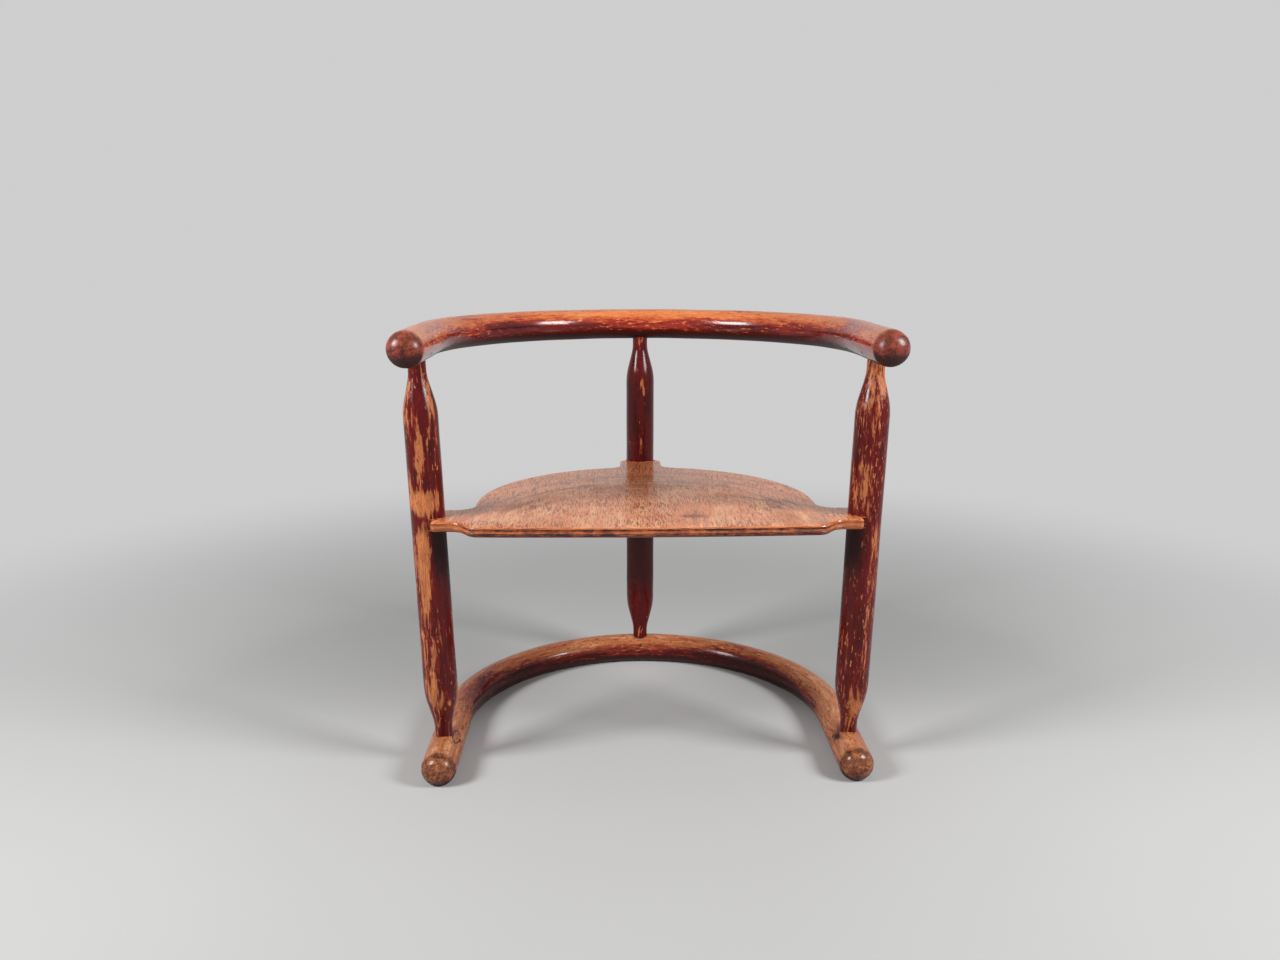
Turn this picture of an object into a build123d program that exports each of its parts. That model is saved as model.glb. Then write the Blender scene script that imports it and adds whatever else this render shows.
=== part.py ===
from build123d import *
import os
from math import atan2, cos, radians, sin, sqrt, tan

# Low child's armchair: two bent round rails, three turned posts, a plywood seat and locking pins.
# Sizes are in millimetres. Seen from the front, +X is to the right, +Y to the back and +Z up.
# The origin is on the floor, under the middle of the chair's overall box.

# Bent rails
rail_diameter = 32.0
base_bend_radius = 191.5  # at the middle of the bar
top_bend_radius = 203.0  # at the middle of the bar
base_straight_length = 119.0  # from the bend to the tip of each leg
top_straight_length = 114.0  # from the bend to the tip of each arm
rail_tip_rounding = 14.0
base_flat_depth = 2.0  # planed off the underside, so that the rail lies flat
arm_height = 412.0  # from the floor to the top of the top rail

# Turned posts
post_diameter = 31.0
neck_diameter = 16.0
neck_length = 11.5  # straight stretch between a rail and the taper
taper_length = 29.0
post_shoulder_rounding = 70.0
neck_blend_radius = 40.0
tenon_depth = 24.0  # how far the neck runs on into a rail
front_post_lead = 66.0  # how far the front posts stand ahead of the base bend's centre
notch_depth = 11.0  # from the inner side of a post to the tip of the ear in it

# Plywood seat
ply_thickness = 2.0
seat_height = 242.0  # from the floor to the top of the seat
ear_width = 46.0
ear_reach = 37.0  # from the side of the seat to the middle of a front post
ear_corner_radius = 4.0
ear_blend_radius = 16.0  # hollow corner between an ear and the round of the seat
seat_front_overhang = 23.0  # how far the front edge stands ahead of the ears
seat_front_bow = 4.0  # how far the middle of the front edge stands ahead of its corners
seat_corner_inset = 5.5  # from the side of the seat to the front corner
seat_shoulder_run = 13.0  # sideways run of the slope from a front corner to an ear
seat_shoulder_radius = 13.0
seat_edge_rounding = 3.0

# Locking pins
pin_diameter = 3.5
pin_tilt = 30.0  # degrees from level, down into the base rail and up into the top rail
pin_far_grip = 3.0  # how far a pin runs on past the tenon
pin_recess = 0.2  # how far a pin's head lies under the rail's surface

# Fits
glue_gap = 0.1  # around tenons and ears
pin_gap = 0.05  # around pins
cutter_margin = 5.0  # how far a cutting shape runs out into the open

# Largest share of the room that a rounding may take, and how close two points are to be one corner
rounding_limit = 0.95
same_place = 0.001

# Seat layers, from the top down
ply_names = (
    "seat_face_veneer",
    "seat_crossband_upper",
    "seat_core_veneer",
    "seat_crossband_lower",
    "seat_back_veneer",
)

# Places that follow from the sizes
rail_radius = rail_diameter / 2
neck_radius = neck_diameter / 2
post_radius = post_diameter / 2
seat_thickness = ply_thickness * len(ply_names)
seat_underside = seat_height - seat_thickness
base_level = rail_radius - base_flat_depth
top_level = arm_height - rail_radius
top_bend_offset = base_bend_radius - top_bend_radius  # the two backs stand one above the other
back_reach = base_bend_radius + rail_radius
front_reach = max(base_straight_length, top_straight_length - top_bend_offset)
base_bend_y = (front_reach - back_reach) / 2
top_bend_y = base_bend_y + top_bend_offset
front_post_y = base_bend_y - front_post_lead
back_post_y = base_bend_y + base_bend_radius

# Each post's foot and head on the middle line of the rails, and the level way from it into the chair
post_names = {"left": "front_post_left", "right": "front_post_right", "back": "back_post"}
post_feet = {
    "left": Vector(-base_bend_radius, front_post_y, base_level),
    "right": Vector(base_bend_radius, front_post_y, base_level),
    "back": Vector(0, back_post_y, base_level),
}
post_heads = {
    "left": Vector(-top_bend_radius, front_post_y, top_level),
    "right": Vector(top_bend_radius, front_post_y, top_level),
    "back": Vector(0, back_post_y, top_level),
}
post_inward = {
    "left": Vector(1, 0, 0),
    "right": Vector(-1, 0, 0),
    "back": Vector(0, -1, 0),
}


def post_at_seat(place):
    """Middle of a post halfway up the thickness of the seat."""
    foot = post_feet[place]
    head = post_heads[place]
    share = (seat_underside + seat_thickness / 2 - foot.Z) / (head.Z - foot.Z)
    return foot + (head - foot) * share


def notch_wall(place):
    """Middle of the upright wall at the end of a post's notch."""
    return post_at_seat(place) + post_inward[place] * (post_radius - notch_depth)


def bent_rail(bend_radius, straight_length, bend_y, level):
    """Round bar bent to a half circle with two straight ends, its tips rounded."""
    section = Circle(rail_radius)
    right_plane = Plane(origin=(bend_radius, bend_y, level), x_dir=(1, 0, 0), z_dir=(0, -1, 0))
    left_plane = Plane(origin=(-bend_radius, bend_y, level), x_dir=(1, 0, 0), z_dir=(0, -1, 0))
    bend_axis = Axis((0, bend_y, level), (0, 0, 1))
    bend = revolve(right_plane * section, bend_axis, revolution_arc=180)
    right_arm = extrude(right_plane * section, amount=straight_length)
    left_arm = extrude(left_plane * section, amount=straight_length)
    rail = bend + right_arm + left_arm
    tips = rail.edges().group_by(Axis.Y)[0]
    return fillet(tips, min(rail_tip_rounding, rounding_limit * rail_radius))


def tenon_hole(start, towards):
    """Blind round hole for a neck, drilled along the post from the open side of a rail."""
    way = (towards - start).normalized()
    bottom = start - way * (tenon_depth - rail_radius + glue_gap)
    depth = tenon_depth + glue_gap + cutter_margin
    return extrude(Plane(origin=bottom, z_dir=way) * Circle(neck_radius + glue_gap), amount=depth)


def pin_way(place, rise):
    """Direction of a pin from the middle of the rail to its head: inward, and up or down by the tilt."""
    level_part = post_inward[place] * cos(radians(pin_tilt))
    return level_part + Vector(0, 0, rise * sin(radians(pin_tilt)))


def pin_far_reach():
    """How far a pin goes on past the middle of the rail."""
    return neck_radius / cos(radians(pin_tilt)) + pin_far_grip


def locking_pin(centre, way):
    """Straight pin with its head just under the rail's surface."""
    reach = pin_far_reach()
    length = reach + rail_radius - pin_recess
    return extrude(Plane(origin=centre - way * reach, z_dir=way) * Circle(pin_diameter / 2), amount=length)


def pin_hole(centre, way):
    """Hole for a locking pin, open at the rail's surface."""
    reach = pin_far_reach() + pin_gap
    length = reach + rail_radius + cutter_margin
    hole = Circle(pin_diameter / 2 + pin_gap)
    return extrude(Plane(origin=centre - way * reach, z_dir=way) * hole, amount=length)


def turned_post(place):
    """Turned post from tenon to tenon, with a taper to a thin neck at both ends."""
    foot = post_feet[place]
    head = post_heads[place]
    way = (head - foot).normalized()
    span = (head - foot).length
    tenon_start = rail_radius - tenon_depth
    neck_end = rail_radius + neck_length
    taper_end = neck_end + taper_length
    outline = FilletPolyline(
        (0, tenon_start),
        (neck_radius, tenon_start),
        (neck_radius, neck_end),
        (post_radius, taper_end),
        (post_radius, span - taper_end),
        (neck_radius, span - neck_end),
        (neck_radius, span - tenon_start),
        (0, span - tenon_start),
        radius=[
            0,
            0,
            neck_blend_radius,
            post_shoulder_rounding,
            post_shoulder_rounding,
            neck_blend_radius,
            0,
            0,
        ],
        close=True,
    )
    profile = Plane.XZ * make_face(outline)
    turned = revolve(profile, Axis.Z)
    standing = Plane(origin=foot, x_dir=(0, 1, 0), z_dir=way) * turned
    standing -= seat_notch(place)
    standing -= pin_hole(foot, pin_way(place, 1))
    standing -= pin_hole(head, pin_way(place, -1))
    return standing


def seat_notch(place):
    """Level slot in the inner side of a post, where an ear of the seat sits."""
    wall = notch_wall(place)
    slot_height = seat_thickness + glue_gap
    slot_depth = notch_depth + cutter_margin
    slot_width = post_diameter + 2 * cutter_margin
    wall_plane = Plane(origin=(wall.X, wall.Y, seat_underside), x_dir=post_inward[place], z_dir=(0, 0, 1))
    return wall_plane * Box(slot_depth, slot_width, slot_height, align=(Align.MIN, Align.CENTER, Align.MIN))


def corners_at(outline, places):
    """Corners of a flat outline that lie at the given places, on either side of the chair."""
    found = []
    for corner in outline.vertices():
        for x, y in places:
            if abs(abs(corner.X) - x) < same_place and abs(corner.Y - y) < same_place:
                found.append(corner)
    return found


def seat_outline():
    """Flat outline of the seat: a round back, a bowed front and three ears."""
    half_ear = ear_width / 2
    tip_x = notch_wall("right").X - glue_gap
    side_x = post_at_seat("right").X - ear_reach
    back_tip_y = notch_wall("back").Y - glue_gap
    ear_front_y = front_post_y - half_ear
    ear_rear_y = front_post_y + half_ear
    front_y = ear_front_y - seat_front_overhang
    corner_y = front_y + seat_front_bow
    corner_x = side_x - seat_corner_inset
    shoulder_x = corner_x + seat_shoulder_run
    round_end_y = top_bend_y + sqrt(side_x**2 - half_ear**2)
    round_middle = side_x * sqrt(0.5)

    front_edge = ThreePointArc((-corner_x, corner_y), (0, front_y), (corner_x, corner_y))
    right_ear = Polyline(
        (corner_x, corner_y),
        (shoulder_x, ear_front_y),
        (tip_x, ear_front_y),
        (tip_x, ear_rear_y),
        (side_x, ear_rear_y),
        (side_x, top_bend_y),
    )
    right_round = ThreePointArc(
        (side_x, top_bend_y),
        (round_middle, top_bend_y + round_middle),
        (half_ear, round_end_y),
    )
    back_ear = Polyline(
        (half_ear, round_end_y),
        (half_ear, back_tip_y),
        (-half_ear, back_tip_y),
        (-half_ear, round_end_y),
    )
    right_side = right_ear + right_round
    outline = make_face(front_edge + right_side + back_ear + mirror(right_side, Plane.YZ))

    rise = ear_front_y - corner_y
    slope = sqrt(seat_shoulder_run**2 + rise**2)
    turn = atan2(rise, seat_shoulder_run)
    shoulder_room = rounding_limit * slope / 2 / tan(turn / 2)
    blend_room = rounding_limit * min(top_bend_y - ear_rear_y, tip_x - side_x - ear_corner_radius)
    shoulder_corners = corners_at(outline, [(corner_x, corner_y), (shoulder_x, ear_front_y)])
    outline = fillet(shoulder_corners, min(seat_shoulder_radius, shoulder_room))
    blend_corners = corners_at(outline, [(side_x, ear_rear_y), (half_ear, round_end_y)])
    outline = fillet(blend_corners, min(ear_blend_radius, blend_room))
    tip_places = [(tip_x, ear_front_y), (tip_x, ear_rear_y), (half_ear, back_tip_y)]
    return fillet(corners_at(outline, tip_places), ear_corner_radius)


def seat_plies():
    """The seat with its rounded edge, cut into its layers from the top down."""
    seat = Pos(0, 0, seat_underside) * extrude(seat_outline(), amount=seat_thickness)
    rims = seat.faces().group_by(Axis.Z)[0].edges() + seat.faces().group_by(Axis.Z)[-1].edges()
    rounding_room = rounding_limit * min(seat_thickness / 2, ear_corner_radius)
    seat = fillet(rims, min(seat_edge_rounding, rounding_room))
    slab_width = 2 * (top_bend_radius + rail_radius)
    slab_length = 2 * (front_reach + back_reach)
    plies = {}
    for layer, name in enumerate(ply_names):
        ply_middle = seat_height - ply_thickness * (layer + 0.5)
        plies[name] = seat & (Pos(0, 0, ply_middle) * Box(slab_width, slab_length, ply_thickness))
    return plies


# Rails, with the holes for the posts and pins
base_rail = bent_rail(base_bend_radius, base_straight_length, base_bend_y, base_level)
floor_cut = Box(
    2 * (base_bend_radius + rail_diameter),
    2 * (front_reach + back_reach),
    rail_diameter,
    align=(Align.CENTER, Align.CENTER, Align.MAX),
)
base_rail -= floor_cut
top_rail = bent_rail(top_bend_radius, top_straight_length, top_bend_y, top_level)
parts = {}
for place, post_name in post_names.items():
    foot = post_feet[place]
    head = post_heads[place]
    foot_pin_way = pin_way(place, 1)
    head_pin_way = pin_way(place, -1)
    base_rail -= tenon_hole(foot, head)
    base_rail -= pin_hole(foot, foot_pin_way)
    top_rail -= tenon_hole(head, foot)
    top_rail -= pin_hole(head, head_pin_way)
    parts[post_name] = turned_post(place)
    parts[f"base_pin_{place}"] = locking_pin(foot, foot_pin_way)
    parts[f"top_pin_{place}"] = locking_pin(head, head_pin_way)
parts["base_rail"] = base_rail
parts["top_rail"] = top_rail
parts.update(seat_plies())

os.makedirs("parts", exist_ok=True)
for part_name, part in parts.items():
    export_step(part, f"parts/{part_name}.step")
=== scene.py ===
"""Looks of a low child's armchair: worn red lacquer on bent rails, turned posts and a plywood seat.

Every length is in metres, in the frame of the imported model: +X to the right as seen from the front,
+Y to the back, +Z up, with the floor at zero.
"""

import logging
import math
from dataclasses import dataclass, field, replace
from enum import Enum
from typing import Iterable, NamedTuple, Optional, Union

import bmesh
import bpy
from mathutils import Matrix, Vector, noise


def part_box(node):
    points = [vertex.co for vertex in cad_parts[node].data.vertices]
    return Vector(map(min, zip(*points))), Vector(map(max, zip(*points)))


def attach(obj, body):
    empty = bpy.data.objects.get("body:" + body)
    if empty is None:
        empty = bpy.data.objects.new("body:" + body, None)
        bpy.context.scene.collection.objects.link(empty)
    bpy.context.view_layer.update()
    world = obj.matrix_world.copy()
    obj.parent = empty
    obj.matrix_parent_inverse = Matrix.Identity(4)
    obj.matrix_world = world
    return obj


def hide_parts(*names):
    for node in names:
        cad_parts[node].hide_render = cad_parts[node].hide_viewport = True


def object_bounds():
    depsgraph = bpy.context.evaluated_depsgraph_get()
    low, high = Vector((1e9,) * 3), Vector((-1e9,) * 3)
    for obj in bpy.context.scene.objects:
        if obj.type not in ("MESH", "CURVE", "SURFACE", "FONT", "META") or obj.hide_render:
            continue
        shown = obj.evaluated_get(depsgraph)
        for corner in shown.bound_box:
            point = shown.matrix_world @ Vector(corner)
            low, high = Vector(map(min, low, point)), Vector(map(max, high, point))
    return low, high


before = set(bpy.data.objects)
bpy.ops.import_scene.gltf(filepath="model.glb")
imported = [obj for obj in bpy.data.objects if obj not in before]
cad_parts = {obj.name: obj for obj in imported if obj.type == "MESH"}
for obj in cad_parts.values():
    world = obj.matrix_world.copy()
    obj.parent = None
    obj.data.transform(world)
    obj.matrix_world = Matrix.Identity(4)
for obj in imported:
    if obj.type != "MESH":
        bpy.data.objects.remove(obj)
CAD_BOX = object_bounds()

LOG = logging.getLogger("child_armchair")
MM = 0.001
BODY = "root"
GRAIN = "grain"
COVER = "cover"
WELD = 0.001 * MM
TINY = 1e-6
UP = Vector((0.0, 0.0, 1.0))

Pair = tuple[float, float]
Triple = tuple[float, float, float]
Socket = bpy.types.NodeSocket
Value = Union[float, Socket]
Material = bpy.types.Material
Piece = bpy.types.Object
Shape = bmesh.types.BMesh
Edges = list[bmesh.types.BMEdge]


class Slot(Enum):
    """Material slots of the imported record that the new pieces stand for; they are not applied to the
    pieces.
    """

    RAIL = "rail_wood"
    POST = "post_wood"
    VENEER = "seat_veneer"
    CROSSBAND = "seat_crossband"


class Place(Enum):
    """Where a post stands, with the level way from it into the chair."""

    LEFT = (1.0, 0.0, 0.0)
    RIGHT = (-1.0, 0.0, 0.0)
    BACK = (0.0, -1.0, 0.0)

    @property
    def inward(self) -> Vector:
        """Level way from the post into the chair."""
        return Vector(self.value)


class Tint(Enum):
    """Colours of the chair and its stage, as linear light."""

    PALE_WOOD = (0.68, 0.285, 0.125)
    ORANGE_WOOD = (0.70, 0.205, 0.060)
    POST_WOOD = (0.58, 0.190, 0.062)
    TAN_WOOD = (0.61, 0.275, 0.128)
    BROWN_WOOD = (0.40, 0.130, 0.048)
    GRAIN_LINE = (0.200, 0.055, 0.021)
    THIN_LACQUER = (0.50, 0.085, 0.022)
    THIN_BROWN = (0.25, 0.050, 0.020)
    RED_LACQUER = (0.29, 0.022, 0.009)
    BROWN_LACQUER = (0.17, 0.026, 0.012)
    MAROON_LACQUER = (0.135, 0.006, 0.005)
    DARK_LACQUER = (0.092, 0.002, 0.003)
    BLACK_LACQUER = (0.034, 0.002, 0.002)
    END_RED = (0.25, 0.040, 0.021)
    END_MAROON = (0.065, 0.008, 0.006)
    END_TAN = (0.34, 0.120, 0.052)
    END_BROWN = (0.150, 0.045, 0.022)
    # Near-black red for soiling, end-grain pits and the crack, and also the painted shade on undersides and
    # below the seat.
    GRIME_AND_SHADE = (0.026, 0.002, 0.002)
    SEAT_PALE = (0.78, 0.395, 0.210)
    SEAT_PINK = (0.68, 0.270, 0.145)
    SEAT_ORANGE = (0.62, 0.215, 0.095)
    SEAT_BROWN = (0.34, 0.105, 0.036)
    SEAT_LACQUER = (0.68, 0.195, 0.040)
    SEAT_PORE = (0.200, 0.045, 0.022)
    SEAT_GREY = (0.120, 0.042, 0.024)
    EDGE_ORANGE = (0.54, 0.160, 0.050)
    EDGE_BROWN = (0.32, 0.076, 0.027)
    EDGE_RED = (0.21, 0.040, 0.016)
    EDGE_DARK = (0.026, 0.005, 0.004)
    BEAD_RED = (0.66, 0.120, 0.030)
    PIN_DARK = (0.026, 0.021, 0.018)
    PIN_RUST = (0.075, 0.030, 0.016)
    FLOOR = (0.47, 0.47, 0.465)
    BACKDROP = (0.62, 0.62, 0.62)


class Step(NamedTuple):
    """Smooth step between two levels, with what it gives below and above them."""

    low: float
    high: float
    start: float = 0.0
    end: float = 1.0


@dataclass(frozen=True)
class Blotch:
    """Layer of smooth noise about a mean of one half.

    The cell is the size of a blotch along the three axes. Detail and roughness say how many finer layers
    there are and how strong they are. The shift sets one layer apart from another.
    The pull is how far the blotches are drawn about.
    """

    cell: Triple
    detail: float
    roughness: float
    shift: float
    pull: float = 0.0

    def sized(self, across: float, along: float) -> "Blotch":
        """The same layer with blotches of another size."""
        return replace(self, cell=bar_cell(across, along))


def bar_cell(across: float, along: float) -> Triple:
    """Cell of a blotch that is as wide one way across the bar as the other."""
    return (across, across, along)


class NodeSketch:
    """Short words for drawing one node material.

    The three numbers are the places of the colour sockets on Blender's mix node.
    """

    MIX_UNDER = 6
    MIX_OVER = 7
    MIX_RESULT = 2

    def __init__(self, name: str) -> None:
        """Starts an empty material.

        Args:
            name: Name of the material.
        """
        self.material = bpy.data.materials.new(name)
        self.material.use_nodes = True
        self.tree = self.material.node_tree
        self.shader = self.tree.nodes["Principled BSDF"]

    def add(self, kind: str, **settings: object) -> bpy.types.Node:
        """Adds a node.

        Args:
            kind: Blender's name for the kind of node.
            **settings: Properties to set on it.

        Returns:
            The new node.
        """
        node = self.tree.nodes.new(kind)
        for key, value in settings.items():
            setattr(node, key, value)
        return node

    def feed(self, socket: Socket, value: object) -> None:
        """Links a socket to another one, or sets its plain value.

        Args:
            socket: Socket that takes the value.
            value: A socket to link, a number, a vector or a colour.
        """
        if isinstance(value, bpy.types.NodeSocket):
            self.tree.links.new(value, socket)
        elif isinstance(value, Tint):
            socket.default_value = (*value.value, 1.0)
        else:
            socket.default_value = value

    def attribute(self, name: str) -> Socket:
        """Vector that the piece's mesh holds under a name."""
        return self.add("ShaderNodeAttribute", attribute_name=name).outputs["Vector"]

    def place(self) -> Socket:
        """Place of the surface in the chair's own frame."""
        return self.add("ShaderNodeTexCoord").outputs["Object"]

    def parts(self, vector: Socket) -> list[Socket]:
        """Takes a vector apart.

        Args:
            vector: The vector.

        Returns:
            Its three numbers.
        """
        node = self.add("ShaderNodeSeparateXYZ")
        self.feed(node.inputs[0], vector)
        return list(node.outputs)

    def length(self, vector: Socket) -> Socket:
        """Measures a vector.

        Args:
            vector: The vector.

        Returns:
            Its length.
        """
        node = self.add("ShaderNodeVectorMath", operation="LENGTH")
        self.feed(node.inputs[0], vector)
        return node.outputs["Value"]

    def maths(self, operation: str, first: Value, second: Value = 0.0, third: Value = 0.0) -> Socket:
        """Arithmetic on one to three values.

        Args:
            operation: Blender's name for the operation.
            first: First value.
            second: Second value, where the operation takes one.
            third: Third value, where the operation takes one.

        Returns:
            The result.
        """
        node = self.add("ShaderNodeMath", operation=operation)
        for socket, value in zip(node.inputs, (first, second, third)):
            self.feed(socket, value)
        return node.outputs[0]

    def plus(self, first: Value, second: Value) -> Socket:
        """Sum of two values."""
        return self.maths("ADD", first, second)

    def minus(self, first: Value, second: Value) -> Socket:
        """Difference of two values."""
        return self.maths("SUBTRACT", first, second)

    def times(self, first: Value, second: Value) -> Socket:
        """Product of two values."""
        return self.maths("MULTIPLY", first, second)

    def noise(self, vector: Socket, layer: Blotch) -> Socket:
        """Noise of one layer.

        Args:
            vector: Place that is read.
            layer: Layer to draw.

        Returns:
            The noise.
        """
        mapping = self.add("ShaderNodeMapping")
        self.feed(mapping.inputs["Vector"], vector)
        mapping.inputs["Scale"].default_value = [1.0 / size for size in layer.cell]
        mapping.inputs["Location"].default_value = [layer.shift] * 3
        node = self.add("ShaderNodeTexNoise")
        self.feed(node.inputs["Vector"], mapping.outputs[0])
        node.inputs["Scale"].default_value = 1.0
        node.inputs["Detail"].default_value = layer.detail
        node.inputs["Roughness"].default_value = layer.roughness
        node.inputs["Distortion"].default_value = layer.pull
        return node.outputs[0]

    def step(self, value: Socket, step: Step) -> Socket:
        """Steps a value smoothly.

        Args:
            value: Value that is read.
            step: Levels and results of the step.

        Returns:
            The stepped value.
        """
        node = self.add("ShaderNodeMapRange", interpolation_type="SMOOTHSTEP")
        for index, number in enumerate((value, *step)):
            self.feed(node.inputs[index], number)
        return node.outputs[0]

    def cut(self, vector: Socket, layer: Blotch, step: Step) -> Socket:
        """Noise of one layer, stepped smoothly."""
        return self.step(self.noise(vector, layer), step)

    def swing(self, value: Socket, gain: float) -> Socket:
        """Noise turned into a swing about zero."""
        return self.times(self.minus(value, 0.5), gain)

    def ramp(self, value: Socket, stops: Iterable[tuple[float, Tint]]) -> Socket:
        """Colours along a value.

        Args:
            value: Value from 0 to 1.
            stops: Levels and their colours, in rising order.

        Returns:
            The colour.
        """
        node = self.add("ShaderNodeValToRGB")
        elements = node.color_ramp.elements
        for index, (level, tint) in enumerate(stops):
            stop = elements[index] if index < len(elements) else elements.new(level)
            stop.position = level
            stop.color = (*tint.value, 1.0)
        self.feed(node.inputs[0], value)
        return node.outputs[0]

    def blend(self, factor: Value, first: object, second: object) -> Socket:
        """Two colours laid over each other.

        Args:
            factor: Weight of the second colour.
            first: Colour underneath.
            second: Colour on top.

        Returns:
            The blended colour.
        """
        node = self.add("ShaderNodeMix", data_type="RGBA", blend_type="MIX")
        self.feed(node.inputs[0], factor)
        self.feed(node.inputs[self.MIX_UNDER], first)
        self.feed(node.inputs[self.MIX_OVER], second)
        return node.outputs[self.MIX_RESULT]

    def relief(self, layers: Iterable[tuple[Value, float]]) -> Socket:
        """Bumps of several layers, each over the one before.

        Args:
            layers: Heights from 0 to 1, each with its depth in metres.

        Returns:
            The bumped normal.
        """
        normal = None
        for height, depth in layers:
            node = self.add("ShaderNodeBump")
            node.inputs["Distance"].default_value = depth
            self.feed(node.inputs["Height"], height)
            if normal is not None:
                self.feed(node.inputs["Normal"], normal)
            normal = node.outputs[0]
        return normal

    def surface(self, colour: object, roughness: Value, normal: Socket) -> Material:
        """Sets the shader's main sockets.

        Args:
            colour: Colour of the surface.
            roughness: Its roughness.
            normal: Its bumped normal.

        Returns:
            The finished material.
        """
        self.feed(self.shader.inputs["Base Color"], colour)
        self.feed(self.shader.inputs["Roughness"], roughness)
        self.feed(self.shader.inputs["Normal"], normal)
        return self.material


@dataclass(frozen=True)
class Crack:
    """Oval crack in a rail, as a place in the straightened bar."""

    along: float
    angle: float
    half_length: float = 11.5 * MM
    half_width: float = 4.2 * MM
    line: float = 0.20
    core_share: float = 0.4
    strength: float = 0.85
    ragged: Blotch = Blotch(bar_cell(5 * MM, 9 * MM), 4.0, 0.65, 5.5)
    raggedness: float = 1.1

    def draw(self, pen: NodeSketch, grain: Socket, radius: float) -> Socket:
        """Draws the crack's line.

        Args:
            pen: Material that is drawn.
            grain: Place in the straightened bar.
            radius: Radius of the bar.

        Returns:
            The crack's strength on the line and zero off it.
        """
        turn = math.radians(self.angle)
        middle = (-radius * math.sin(turn), radius * math.cos(turn), self.along)
        mapping = pen.add("ShaderNodeMapping", vector_type="TEXTURE")
        mapping.inputs["Location"].default_value = middle
        mapping.inputs["Rotation"].default_value = (0.0, 0.0, turn)
        mapping.inputs["Scale"].default_value = (self.half_width, radius, self.half_length)
        pen.feed(mapping.inputs["Vector"], grain)
        ragged = pen.swing(pen.noise(grain, self.ragged), self.raggedness)
        from_oval = pen.minus(pen.length(mapping.outputs[0]), 1.0)
        off = pen.maths("ABSOLUTE", pen.plus(from_oval, ragged))
        return pen.step(off, Step(self.line * self.core_share, self.line, self.strength, 0.0))


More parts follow.
